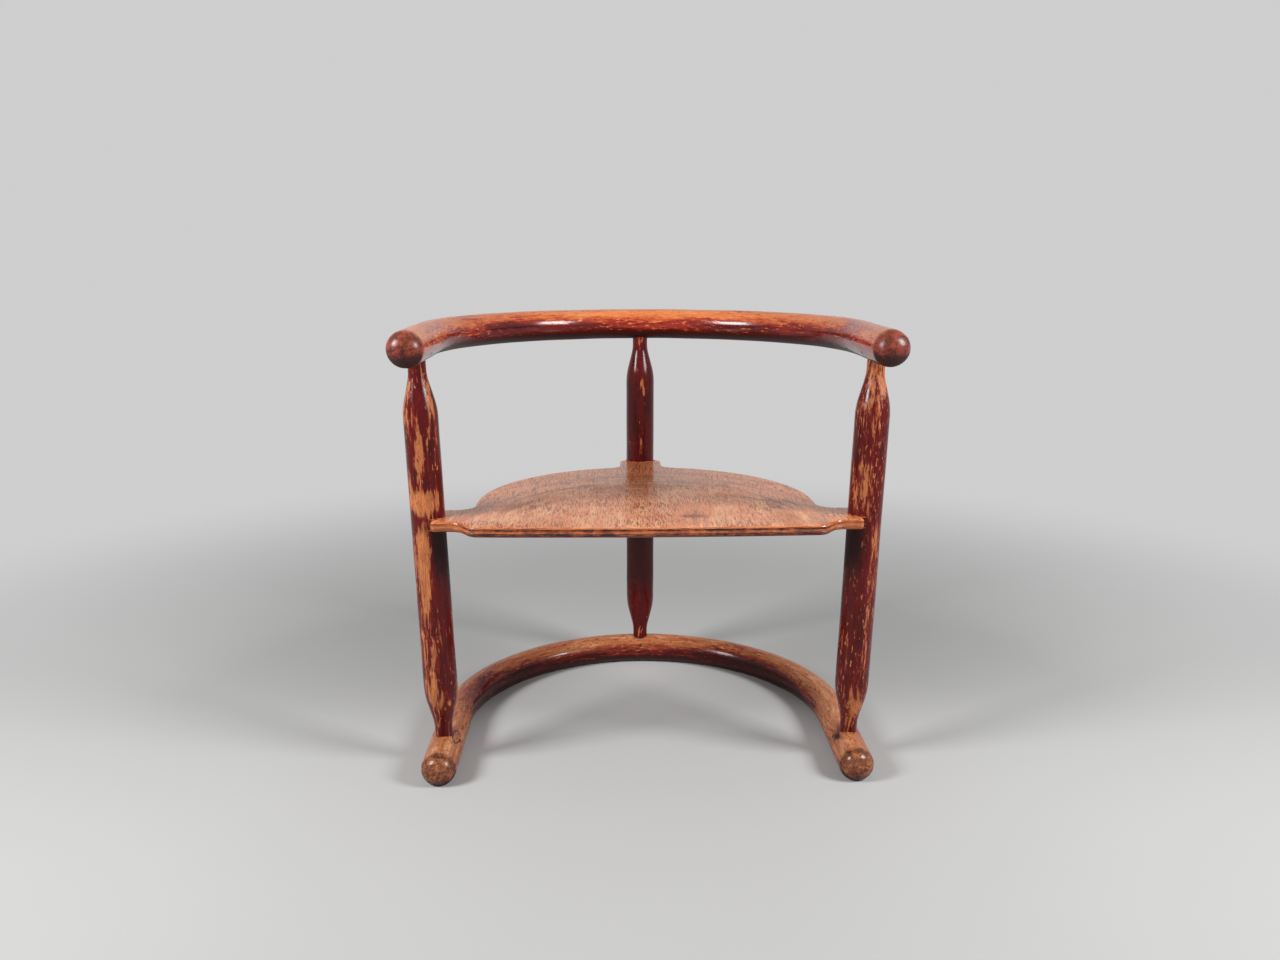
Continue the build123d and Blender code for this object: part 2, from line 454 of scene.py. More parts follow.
@dataclass(frozen=True)
class LacquerFinish:
    """Red lacquer over wood, worn off along the grain.

    The piece's mesh holds the grain's own place, and how thick the lacquer is, how dirty the surface is
    together with painted shade on undersides and below the seat, and how far it is end grain.
    The colours run from bare wood to full lacquer. The layers of noise come after the sizes, each before the
    step that cuts it.
    """

    name: str
    colours: tuple[tuple[float, Tint], ...]
    end_light: Tint
    end_dark: Tint
    patch_width: float
    patch_stretch: float
    patch_gain: float
    fleck_width: float
    fleck_stretch: float
    fleck_gain: float
    drift_gain: float
    sharpness: float
    line_weight: float
    speck_width: float = 1.3 * MM
    speck_length: float = 4.0 * MM
    wood_roughness: float = 0.38
    lacquer_roughness: float = 0.18
    dirt_roughness: float = 0.30
    end_roughness: float = 0.0
    gloss: float = 0.24
    film_depth: float = 0.12 * MM
    grain_depth: float = 0.05 * MM
    wave_depth: float = 0.20 * MM
    crack: Optional[Crack] = None
    crack_radius: float = 16.0 * MM
    patch: Blotch = Blotch(bar_cell(1.0, 1.0), 4.0, 0.6, 3.1, 0.4)
    fleck: Blotch = Blotch(bar_cell(1.0, 1.0), 3.0, 0.6, 7.7)
    fleck_kept: Pair = (0.56, 0.68)
    fleck_kept_share: float = 0.75
    fleck_lost: Pair = (0.34, 0.44)
    crowd: Blotch = Blotch(bar_cell(10 * MM, 45 * MM), 2.0, 0.5, 1.9)
    crowd_step: Step = Step(0.34, 0.64, 0.45, 1.35)
    drift: Blotch = Blotch(bar_cell(22 * MM, 110 * MM), 3.0, 0.5, 6.3)
    cover_step: Step = Step(0.28, 0.58)
    bare: Blotch = Blotch(bar_cell(5 * MM, 18 * MM), 4.0, 0.6, 2.7)
    bare_step: Step = Step(0.40, 0.62, 0.0, 0.85)
    black: Blotch = Blotch(bar_cell(7 * MM, 40 * MM), 4.0, 0.6, 4.7)
    black_step: Step = Step(0.44, 0.66, 0.0, 0.75)
    thick_step: Step = Step(0.62, 0.95)
    line: Blotch = Blotch(bar_cell(0.9 * MM, 45 * MM), 4.0, 0.6, 1.3)
    line_step: Step = Step(0.50, 0.72)
    line_on_lacquer: float = 0.10
    speck: Blotch = Blotch(bar_cell(1.0, 1.0), 2.0, 0.5, 9.2)
    speck_step: Step = Step(0.58, 0.66)
    mottle: Blotch = Blotch(bar_cell(7 * MM, 7 * MM), 5.0, 0.65, 5.4)
    mottle_step: Step = Step(0.41, 0.57)
    pit: Blotch = Blotch(bar_cell(1.6 * MM, 1.6 * MM), 2.0, 0.6, 3.8)
    pit_step: Step = Step(0.53, 0.62, 0.0, 0.85)
    end_share: float = 0.9
    dirt_and_shade: Blotch = Blotch(bar_cell(4 * MM, 9 * MM), 4.0, 0.6, 2.2)
    dirt_and_shade_swing: float = 1.3
    dirt_and_shade_step: Step = Step(0.30, 0.95)
    dirt_and_shade_share: float = 0.97
    smudge: Blotch = Blotch(bar_cell(12 * MM, 30 * MM), 3.0, 0.6, 6.6)
    smudge_swing: float = 0.20
    wave: Blotch = Blotch(bar_cell(9 * MM, 22 * MM), 2.0, 0.5, 8.8)

    def film(self, pen: NodeSketch, grain: Socket, thickness: Socket) -> Socket:
        """Film of lacquer with its patches, flecks and drifts.

        Args:
            pen: Material that is drawn.
            grain: Place in the straightened bar.
            thickness: Even thickness of the lacquer there.

        Returns:
            Level from 0 on bare wood to 1 on full lacquer.
        """
        patch = self.patch.sized(self.patch_width, self.patch_width * self.patch_stretch)
        patches = pen.swing(pen.noise(grain, patch), self.patch_gain)
        fleck = self.fleck.sized(self.fleck_width, self.fleck_width * self.fleck_stretch)
        spots = pen.noise(grain, fleck)
        kept = pen.step(spots, Step(*self.fleck_kept, 0.0, self.fleck_kept_share * self.fleck_gain))
        lost = pen.step(spots, Step(*self.fleck_lost, self.fleck_gain, 0.0))
        flecks = pen.times(pen.minus(kept, lost), pen.cut(grain, self.crowd, self.crowd_step))
        drifts = pen.swing(pen.noise(grain, self.drift), self.drift_gain)
        film = pen.plus(pen.plus(thickness, drifts), pen.plus(patches, flecks))
        return pen.maths("MULTIPLY_ADD", pen.minus(film, 0.5), self.sharpness, 0.5)

    def side_colour(
        self, pen: NodeSketch, grain: Socket, level: Socket, worn: Socket, lines: Socket
    ) -> Socket:
        """Colour along the sides of the bar.

        Args:
            pen: Material that is drawn.
            grain: Place in the straightened bar.
            level: Level of the film.
            worn: How far the film is gone.
            lines: Lines of the grain.

        Returns:
            The colour.
        """
        second_wood = self.colours[1][1]
        colour = pen.ramp(level, self.colours)
        bare = pen.cut(grain, self.bare, self.bare_step)
        colour = pen.blend(pen.times(bare, worn), colour, second_wood)
        black = pen.cut(grain, self.black, self.black_step)
        black = pen.times(black, pen.step(level, self.thick_step))
        colour = pen.blend(black, colour, Tint.BLACK_LACQUER)
        specks = pen.cut(grain, self.speck.sized(self.speck_width, self.speck_length), self.speck_step)
        marks = pen.maths("MAXIMUM", pen.step(lines, self.line_step), specks)
        weight = pen.maths("MULTIPLY_ADD", worn, self.line_weight, self.line_on_lacquer)
        return pen.blend(pen.times(marks, weight), colour, Tint.GRAIN_LINE)

    def end_colour(self, pen: NodeSketch, grain: Socket) -> Socket:
        """Colour of the end grain.

        Args:
            pen: Material that is drawn.
            grain: Place in the straightened bar.

        Returns:
            The colour.
        """
        mottle = pen.cut(grain, self.mottle, self.mottle_step)
        ends = pen.blend(mottle, self.end_dark, self.end_light)
        return pen.blend(pen.cut(grain, self.pit, self.pit_step), ends, Tint.GRIME_AND_SHADE)

    def material(self) -> Material:
        """Draws the finish.

        Returns:
            The finished material.
        """
        pen = NodeSketch(self.name)
        grain = pen.attribute(GRAIN)
        # The second number of the cover is soiling plus painted shade; the mask made from it darkens the
        # colour for both.
        thickness, grime_and_shade, end_grain = pen.parts(pen.attribute(COVER))
        level = self.film(pen, grain, thickness)
        cover = pen.step(level, self.cover_step)
        worn = pen.minus(1.0, cover)
        lines = pen.noise(grain, self.line)
        dirt_and_shade = pen.swing(pen.noise(grain, self.dirt_and_shade), self.dirt_and_shade_swing)
        dirt_and_shade = pen.step(pen.plus(grime_and_shade, dirt_and_shade), self.dirt_and_shade_step)

        colour = self.side_colour(pen, grain, level, worn, lines)
        colour = pen.blend(pen.times(end_grain, self.end_share), colour, self.end_colour(pen, grain))
        # Painted shade and soiling both blend the colour towards the near-black tint here.
        colour = pen.blend(pen.times(dirt_and_shade, self.dirt_and_shade_share), colour, Tint.GRIME_AND_SHADE)
        if self.crack:
            colour = pen.blend(self.crack.draw(pen, grain, self.crack_radius), colour, Tint.GRIME_AND_SHADE)

        smudges = pen.swing(pen.noise(grain, self.smudge), self.smudge_swing)
        spread = self.wood_roughness - self.lacquer_roughness
        bare_side = pen.times(worn, pen.minus(1.0, end_grain))
        roughness = pen.maths("MULTIPLY_ADD", bare_side, spread, self.lacquer_roughness)
        roughness = pen.plus(roughness, smudges)
        roughness = pen.maths("MULTIPLY_ADD", dirt_and_shade, self.dirt_roughness, roughness)
        roughness = pen.maths("MULTIPLY_ADD", end_grain, self.end_roughness, roughness)

        pen.shader.inputs["Specular IOR Level"].default_value = self.gloss
        waves = pen.noise(grain, self.wave)
        heights = ((waves, self.wave_depth), (lines, self.grain_depth), (cover, self.film_depth))
        return pen.surface(colour, roughness, pen.relief(heights))


@dataclass(frozen=True)
class SeatFaceFinish:
    """Clear red-brown lacquer on the seat's face veneer, rubbed thin where a child sits.

    The rubbed place is half an oval whose middle lies on the front edge. Behind it the lacquer still shines.
    A reach of 1 lies on the oval's line.
    """

    name: str
    oval_middle_y: float
    oval_reach: Pair = (160 * MM, 190 * MM)
    smudge_place: Pair = (42 * MM, -115 * MM)
    smudge_reach: Pair = (17 * MM, 9 * MM)
    gloss: float = 0.36
    wander: Blotch = Blotch((70 * MM, 25 * MM, 70 * MM), 4.0, 0.6, 4.2)
    wander_swing: float = 0.45
    rubbed_step: Step = Step(0.84, 1.04, 1.0, 0.0)
    tone: Blotch = Blotch((10 * MM, 90 * MM, 10 * MM), 5.0, 0.6, 1.7)
    tone_step: Step = Step(0.38, 0.64)
    tone_depth: float = 0.06 * MM
    orange: Blotch = Blotch((60 * MM, 45 * MM, 60 * MM), 3.0, 0.55, 5.9)
    orange_step: Step = Step(0.44, 0.66, 0.0, 0.8)
    lacquer_left: Step = Step(0.0, 1.0, 0.55, 0.0)
    streak: Blotch = Blotch((0.60, 0.075, 1.0), 5.0, 0.65, 3.4, 0.5)
    streak_step: Step = Step(0.42, 0.68, 0.0, 0.65)
    streak_reach: Step = Step(0.45, 0.95, 0.2, 1.0)
    pore: Blotch = Blotch((0.95 * MM, 13 * MM, 0.95 * MM), 2.0, 0.5, 2.6, 0.8)
    pore_step: Step = Step(0.47, 0.60)
    pore_depth: float = 0.06 * MM
    pore_patch: Blotch = Blotch((45 * MM, 40 * MM, 45 * MM), 3.0, 0.6, 9.4)
    pore_patch_step: Step = Step(0.36, 0.58, 0.45, 0.85)
    pore_rubbed: Step = Step(0.0, 1.0, 1.1, 1.0)
    rim_reach: float = 0.94
    rim_step: Step = Step(0.02, 0.15, 0.75, 0.0)
    rim_gap: Blotch = Blotch((0.45, 0.040, 1.0), 4.0, 0.6, 8.3)
    rim_gap_step: Step = Step(0.46, 0.62)
    rim_front: Step = Step(30 * MM, 75 * MM)
    smudge_step: Step = Step(0.3, 1.15, 0.7, 0.0)
    edge: Blotch = Blotch(bar_cell(11 * MM, 0.6 * MM), 4.0, 0.65, 3.3)
    edge_step: Step = Step(0.46, 0.60)
    upward_step: Step = Step(0.45, 0.93)
    shine: Blotch = Blotch(bar_cell(25 * MM, 25 * MM), 3.0, 0.6, 7.1)
    shine_swing: float = 0.16
    roughness_step: Step = Step(0.0, 1.0, 0.15, 0.36)

    @staticmethod
    def oval(pen: NodeSketch, x: Socket, y: Socket, middle: Pair, reach: Pair) -> Socket:
        """Distance from a middle, as a share of an oval's reach.

        Args:
            pen: Material that is drawn.
            x: Place across the seat.
            y: Place along it.
            middle: Middle of the oval.
            reach: Its half width and half depth.

        Returns:
            One on the oval's line, less inside it.
        """
        across = pen.maths("DIVIDE", pen.minus(x, middle[0]), reach[0])
        along = pen.maths("DIVIDE", pen.minus(y, middle[1]), reach[1])
        square = pen.maths("MULTIPLY_ADD", across, across, pen.times(along, along))
        return pen.maths("SQRT", square)

    def material(self) -> Material:
        """Draws the finish.

        Returns:
            The finished material.
        """
        pen = NodeSketch(self.name)
        place = pen.place()
        x, y, _ = pen.parts(place)
        even_reach = self.oval(pen, x, y, (0.0, self.oval_middle_y), self.oval_reach)
        wander = pen.swing(pen.noise(place, self.wander), self.wander_swing)
        reach = pen.plus(even_reach, wander)
        rubbed = pen.step(reach, self.rubbed_step)
        from_front = pen.minus(y, self.oval_middle_y)
        round_middle = pen.add("ShaderNodeCombineXYZ")
        pen.feed(round_middle.inputs[0], pen.maths("ARCTAN2", x, from_front))
        pen.feed(round_middle.inputs[1], even_reach)
        around = round_middle.outputs[0]

        tone = pen.noise(place, self.tone)
        colour = pen.blend(pen.step(tone, self.tone_step), Tint.SEAT_PALE, Tint.SEAT_PINK)
        colour = pen.blend(pen.cut(place, self.orange, self.orange_step), colour, Tint.SEAT_ORANGE)
        colour = pen.blend(pen.step(rubbed, self.lacquer_left), colour, Tint.SEAT_LACQUER)
        streaks = pen.cut(around, self.streak, self.streak_step)
        streaks = pen.times(streaks, pen.step(even_reach, self.streak_reach))
        colour = pen.blend(streaks, colour, Tint.SEAT_BROWN)

        strokes = pen.noise(place, self.pore)
        patchy = pen.cut(place, self.pore_patch, self.pore_patch_step)
        patchy = pen.times(patchy, pen.step(rubbed, self.pore_rubbed))
        pores = pen.times(pen.step(strokes, self.pore_step), patchy)
        colour = pen.blend(pores, colour, Tint.SEAT_PORE)

        band = pen.step(pen.maths("ABSOLUTE", pen.minus(reach, self.rim_reach)), self.rim_step)
        broken = pen.cut(around, self.rim_gap, self.rim_gap_step)
        broken = pen.times(broken, pen.step(from_front, self.rim_front))
        smudge = self.oval(pen, x, y, self.smudge_place, self.smudge_reach)
        smudge = pen.step(pen.plus(smudge, wander), self.smudge_step)
        stain = pen.maths("MAXIMUM", pen.times(band, broken), smudge)
        colour = pen.blend(stain, colour, Tint.SEAT_GREY)

        edge = pen.blend(pen.cut(place, self.edge, self.edge_step), Tint.EDGE_ORANGE, Tint.EDGE_RED)
        upward = pen.parts(pen.add("ShaderNodeNewGeometry").outputs["Normal"])[2]
        colour = pen.blend(pen.step(upward, self.upward_step), edge, colour)

        shine = pen.swing(pen.noise(place, self.shine), self.shine_swing)
        roughness = pen.plus(pen.step(rubbed, self.roughness_step), shine)
        pen.shader.inputs["Specular IOR Level"].default_value = self.gloss
        normal = pen.relief(((tone, self.tone_depth), (strokes, self.pore_depth)))
        return pen.surface(colour, roughness, normal)


@dataclass(frozen=True)
class PlyEdgeFinish:
    """Edge of an inner or lower seat layer, where lacquer has run into the open grain.

    Near the ears the lacquer runs over the layers and hides their dark lines.
    """

    name: str
    light: Tint
    dark: Tint
    dark_share: float
    line_height: float
    line_length: float
    dark_spread: float = 0.09
    line: Blotch = Blotch(bar_cell(1.0, 1.0), 4.0, 0.62, 2.9, 0.3)
    line_depth: float = 0.12 * MM
    blotch: Blotch = Blotch(bar_cell(16 * MM, 16 * MM), 4.0, 0.65, 6.1)
    blotch_swing: float = 0.8
    blotch_depth: float = 0.10 * MM
    ear_step: Step = Step(150 * MM, 172 * MM, 1.0, 0.45)
    roughness_step: Step = Step(0.0, 1.0, 0.34, 0.24)

    def material(self) -> Material:
        """Draws the finish.

        Returns:
            The finished material.
        """
        pen = NodeSketch(self.name)
        place = pen.place()
        lines = pen.noise(place, self.line.sized(self.line_length, self.line_height))
        blotches = pen.noise(place, self.blotch)
        level = pen.plus(lines, pen.swing(blotches, self.blotch_swing))
        middle = 0.5 + 0.5 * (0.5 - self.dark_share)
        darkness = pen.step(level, Step(middle - self.dark_spread, middle + self.dark_spread))
        bare = pen.step(pen.maths("ABSOLUTE", pen.parts(place)[0]), self.ear_step)
        darkness = pen.times(darkness, bare)
        light = pen.blend(bare, Tint.EDGE_ORANGE, self.light)
        colour = pen.blend(darkness, light, self.dark)
        roughness = pen.step(darkness, self.roughness_step)
        normal = pen.relief(((blotches, self.blotch_depth), (lines, self.line_depth)))
        return pen.surface(colour, roughness, normal)


@dataclass(frozen=True)
class BeadFinish:
    """Thick red lacquer that ran together in the corners of a joint."""

    name: str
    colours: tuple[tuple[float, Tint], ...] = (
        (0.40, Tint.MAROON_LACQUER),
        (0.48, Tint.BEAD_RED),
        (0.62, Tint.ORANGE_WOOD),
    )
    blotch: Blotch = Blotch(bar_cell(4 * MM, 4 * MM), 4.0, 0.6, 1.1)
    blotch_depth: float = 0.15 * MM
    roughness_step: Step = Step(0.3, 0.7, 0.16, 0.34)

    def material(self) -> Material:
        """Draws the finish.

        Returns:
            The finished material.
        """
        pen = NodeSketch(self.name)
        blotches = pen.noise(pen.place(), self.blotch)
        roughness = pen.step(blotches, self.roughness_step)
        normal = pen.relief(((blotches, self.blotch_depth),))
        return pen.surface(pen.ramp(blotches, self.colours), roughness, normal)


@dataclass(frozen=True)
class PinFinish:
    """Steel gone dark and rusty with age."""

    name: str
    metal: float = 0.6
    rust: Blotch = Blotch(bar_cell(1.2 * MM, 1.2 * MM), 4.0, 0.65, 4.4)
    rust_step: Step = Step(0.44, 0.64)
    rust_depth: float = 0.08 * MM
    roughness_step: Step = Step(0.4, 0.65, 0.42, 0.75)

    def material(self) -> Material:
        """Draws the finish.

        Returns:
            The finished material.
        """
        pen = NodeSketch(self.name)
        rust = pen.noise(pen.place(), self.rust)
        colour = pen.blend(pen.step(rust, self.rust_step), Tint.PIN_DARK, Tint.PIN_RUST)
        roughness = pen.step(rust, self.roughness_step)
        pen.shader.inputs["Metallic"].default_value = self.metal
        return pen.surface(colour, roughness, pen.relief(((rust, self.rust_depth),)))


def finish_mesh(name: str, shape: Shape) -> Piece:
    """Makes an object of a shape, at the origin.

    Args:
        name: Name of the object.
        shape: Its shape, which is used up.

    Returns:
        The new object.
    """
    mesh = bpy.data.meshes.new(name)
    shape.to_mesh(mesh)
    shape.free()
    piece = bpy.data.objects.new(name, mesh)
    bpy.context.scene.collection.objects.link(piece)
    return piece


def carve(piece: Piece, cutters: Iterable[Shape]) -> None:
    """Cuts shapes out of a piece and keeps the result as its mesh.

    Args:
        piece: Piece that is cut.
        cutters: Closed shapes to take away, which are used up.
    """
    tools = []
    for number, shape in enumerate(cutters):
        tool = finish_mesh(f"cutter_{number}", shape)
        cut = piece.modifiers.new(tool.name, "BOOLEAN")
        cut.operation = "DIFFERENCE"
        cut.solver = "EXACT"
        cut.object = tool
        tools.append(tool)
    uncut = piece.data
    seen = piece.evaluated_get(bpy.context.evaluated_depsgraph_get())
    carved = bpy.data.meshes.new_from_object(seen)
    piece.modifiers.clear()
    piece.data = carved
    carved.name = uncut.name
    bpy.data.meshes.remove(uncut)
    for tool in tools:
        mesh = tool.data
        bpy.data.objects.remove(tool)
        bpy.data.meshes.remove(mesh)


def smooth(piece: Piece, sharp_angle: float = 38.0) -> None:
    """Shades a piece smooth, apart from its sharp edges.

    Args:
        piece: Piece to shade.
        sharp_angle: Turn in degrees from which an edge stays sharp.
    """
    piece.data.shade_smooth()
    piece.data.set_sharp_from_angle(angle=math.radians(sharp_angle))


def dress(piece: Piece, material: Material, slot: Slot, *nodes: str) -> None:
    """Gives a piece its finish and says what it stands for.

    Args:
        piece: Piece to dress.
        material: Its finish.
        slot: Not used. The record's slot that the finish belongs to.
        *nodes: CAD nodes that the piece stands for.
    """
    piece.data.materials.clear()
    piece.data.materials.append(material)
    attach(piece, BODY)
    if nodes:
        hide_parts(*nodes)
    meaning = ", ".join(nodes) or "itself"
    LOG.info("%s: %d faces, stands for %s", piece.name, len(piece.data.polygons), meaning)


def edges_of(geometry: Iterable[object]) -> Edges:
    """Edges among what an operator made."""
    return [item for item in geometry if isinstance(item, bmesh.types.BMEdge)]


def boundary(geometry: Iterable[object]) -> Edges:
    """Open edges among what an operator made."""
    return [edge for edge in edges_of(geometry) if edge.is_boundary]


def corners(geometry: Iterable[object]) -> list[bmesh.types.BMVert]:
    """Vertices among what an operator made."""
    return [item for item in geometry if isinstance(item, bmesh.types.BMVert)]


def ring_of(vertices: Iterable[bmesh.types.BMVert]) -> Edges:
    """Edges of a ring of vertices."""
    return list({edge for vertex in vertices for edge in vertex.link_edges})


def shift(shape: Shape, moves: list[Vector]) -> None:
    """Moves every vertex of a shape.

    Args:
        shape: Shape to change.
        moves: Move of each vertex.
    """
    for vertex, move in zip(shape.verts, moves):
        vertex.co += move


def rod(start: Vector, end: Vector, radius: float, sides: int = 40) -> Shape:
    """Closed round rod between two points.

    Args:
        start: Middle of one end.
        end: Middle of the other.
        radius: Radius of the rod.
        sides: Number of its sides.

    Returns:
        The rod.
    """
    shape = bmesh.new()
    way = end - start
    turn = UP.rotation_difference(way).to_matrix().to_4x4()
    bmesh.ops.create_cone(
        shape,
        cap_ends=True,
        segments=sides,
        radius1=radius,
        radius2=radius,
        depth=way.length,
        matrix=Matrix.Translation((start + end) / 2) @ turn,
    )
    return shape


def fade(value: float, low: float, high: float) -> float:
    """Smooth step from 0 to 1 between two levels."""
    share = min(max((value - low) / (high - low), 0.0), 1.0)
    return share * share * (3.0 - 2.0 * share)


@dataclass(frozen=True)
class WornSpot:
    """Place on a bar where the lacquer is thinner, or thicker where the loss is negative.

    The angle is in degrees about the bar: on a post from the front towards the right,
    on a rail from its top towards the inside of the chair.
    """

    along: float
    angle: float
    reach_along: float
    reach_angle: float
    loss: float

    def loss_at(self, along: float, angle: float) -> float:
        """Share of the film that is lost at a place on the bar.

        Args:
            along: Distance along the bar.
            angle: Angle about it, in degrees.

        Returns:
            The loss there.
        """
        turn = (angle - self.angle + 180.0) % 360.0 - 180.0
        distance = ((along - self.along) / self.reach_along) ** 2 + (turn / self.reach_angle) ** 2
        return self.loss * math.exp(-distance)


def worn_spots(*rows: tuple[float, ...]) -> tuple[WornSpot, ...]:
    """Worn spots from rows of place along, angle, reach along, reach in angle, and loss."""
    return tuple(WornSpot(*row) for row in rows)


@dataclass(frozen=True)
class Joinery:
    """Sizes of the joints that rails, posts and seat share."""

    neck_radius: float = 8.0 * MM
    tenon_depth: float = 24.0 * MM
    notch_depth: float = 11.0 * MM
    pin_radius: float = 1.75 * MM
    pin_tilt: float = 30.0
    pin_far_grip: float = 3.0 * MM
    glue_gap: float = 0.1 * MM
    pin_gap: float = 0.05 * MM
    margin: float = 5.0 * MM

    def tenon_hole(self, middle: Vector, way: Vector, rail_radius: float) -> Shape:
        """Cutter for the blind hole of a tenon.

        Args:
            middle: Middle of the rail at the joint.
            way: Direction of the post, out of the rail.
            rail_radius: Radius of the rail.

        Returns:
            The cutter.
        """
        bottom = middle - way * (self.tenon_depth - rail_radius + self.glue_gap)
        return rod(bottom, middle + way * (rail_radius + self.margin), self.neck_radius + self.glue_gap)

    def pin_hole(self, middle: Vector, inward: Vector, rise: float, rail_radius: float) -> Shape:
        """Cutter for the slanting hole of a locking pin.

        Args:
            middle: Middle of the rail at the joint.
            inward: Level way into the chair.
            rise: 1 where the pin's head looks up, -1 where it looks down.
            rail_radius: Radius of the rail.

        Returns:
            The cutter.
        """
        tilt = math.radians(self.pin_tilt)
        way = inward * math.cos(tilt) + UP * (rise * math.sin(tilt))
        far = self.neck_radius / math.cos(tilt) + self.pin_far_grip + self.pin_gap
        top = middle + way * (rail_radius + self.margin)
        return rod(middle - way * far, top, self.pin_radius + self.pin_gap)


class RoundBar:
    """Round wooden bar whose grain and lacquer follow its length.

    Shallow hollows run over it, as hand work and wear leave them.
    """

    hollow_depth: float
    hollow_cell: Vector

    def grain_at(self, point: Vector) -> Vector:
        """Place in the straightened bar: two numbers across it and one along it."""
        raise NotImplementedError

    def cover_at(self, grain: Vector) -> Vector:
        """Thickness of the lacquer, soiling with painted shade added, and share of end grain at a place in
        the bar.
        """
        raise NotImplementedError

    def uneven(self, shape: Shape) -> None:
        """Moves the surface a little in and out.

        Args:
            shape: Shape of the bar.
        """
        shape.normal_update()
        moves = []
        for vertex in shape.verts:
            grain = self.grain_at(vertex.co)
            spot = Vector([place / size for place, size in zip(grain, self.hollow_cell)])
            moves.append(vertex.normal * (self.hollow_depth * noise.noise(spot)))
        shift(shape, moves)

    def paint(self, piece: Piece) -> None:
        """Writes the grain's place and the lacquer's state into the mesh.

        Args:
            piece: Piece made of this bar.
        """
        mesh = piece.data
        grain = mesh.attributes.new(GRAIN, "FLOAT_VECTOR", "POINT")
        cover = mesh.attributes.new(COVER, "FLOAT_VECTOR", "POINT")
        for vertex in mesh.vertices:
            place = self.grain_at(vertex.co)
            grain.data[vertex.index].vector = place
            cover.data[vertex.index].vector = self.cover_at(place)


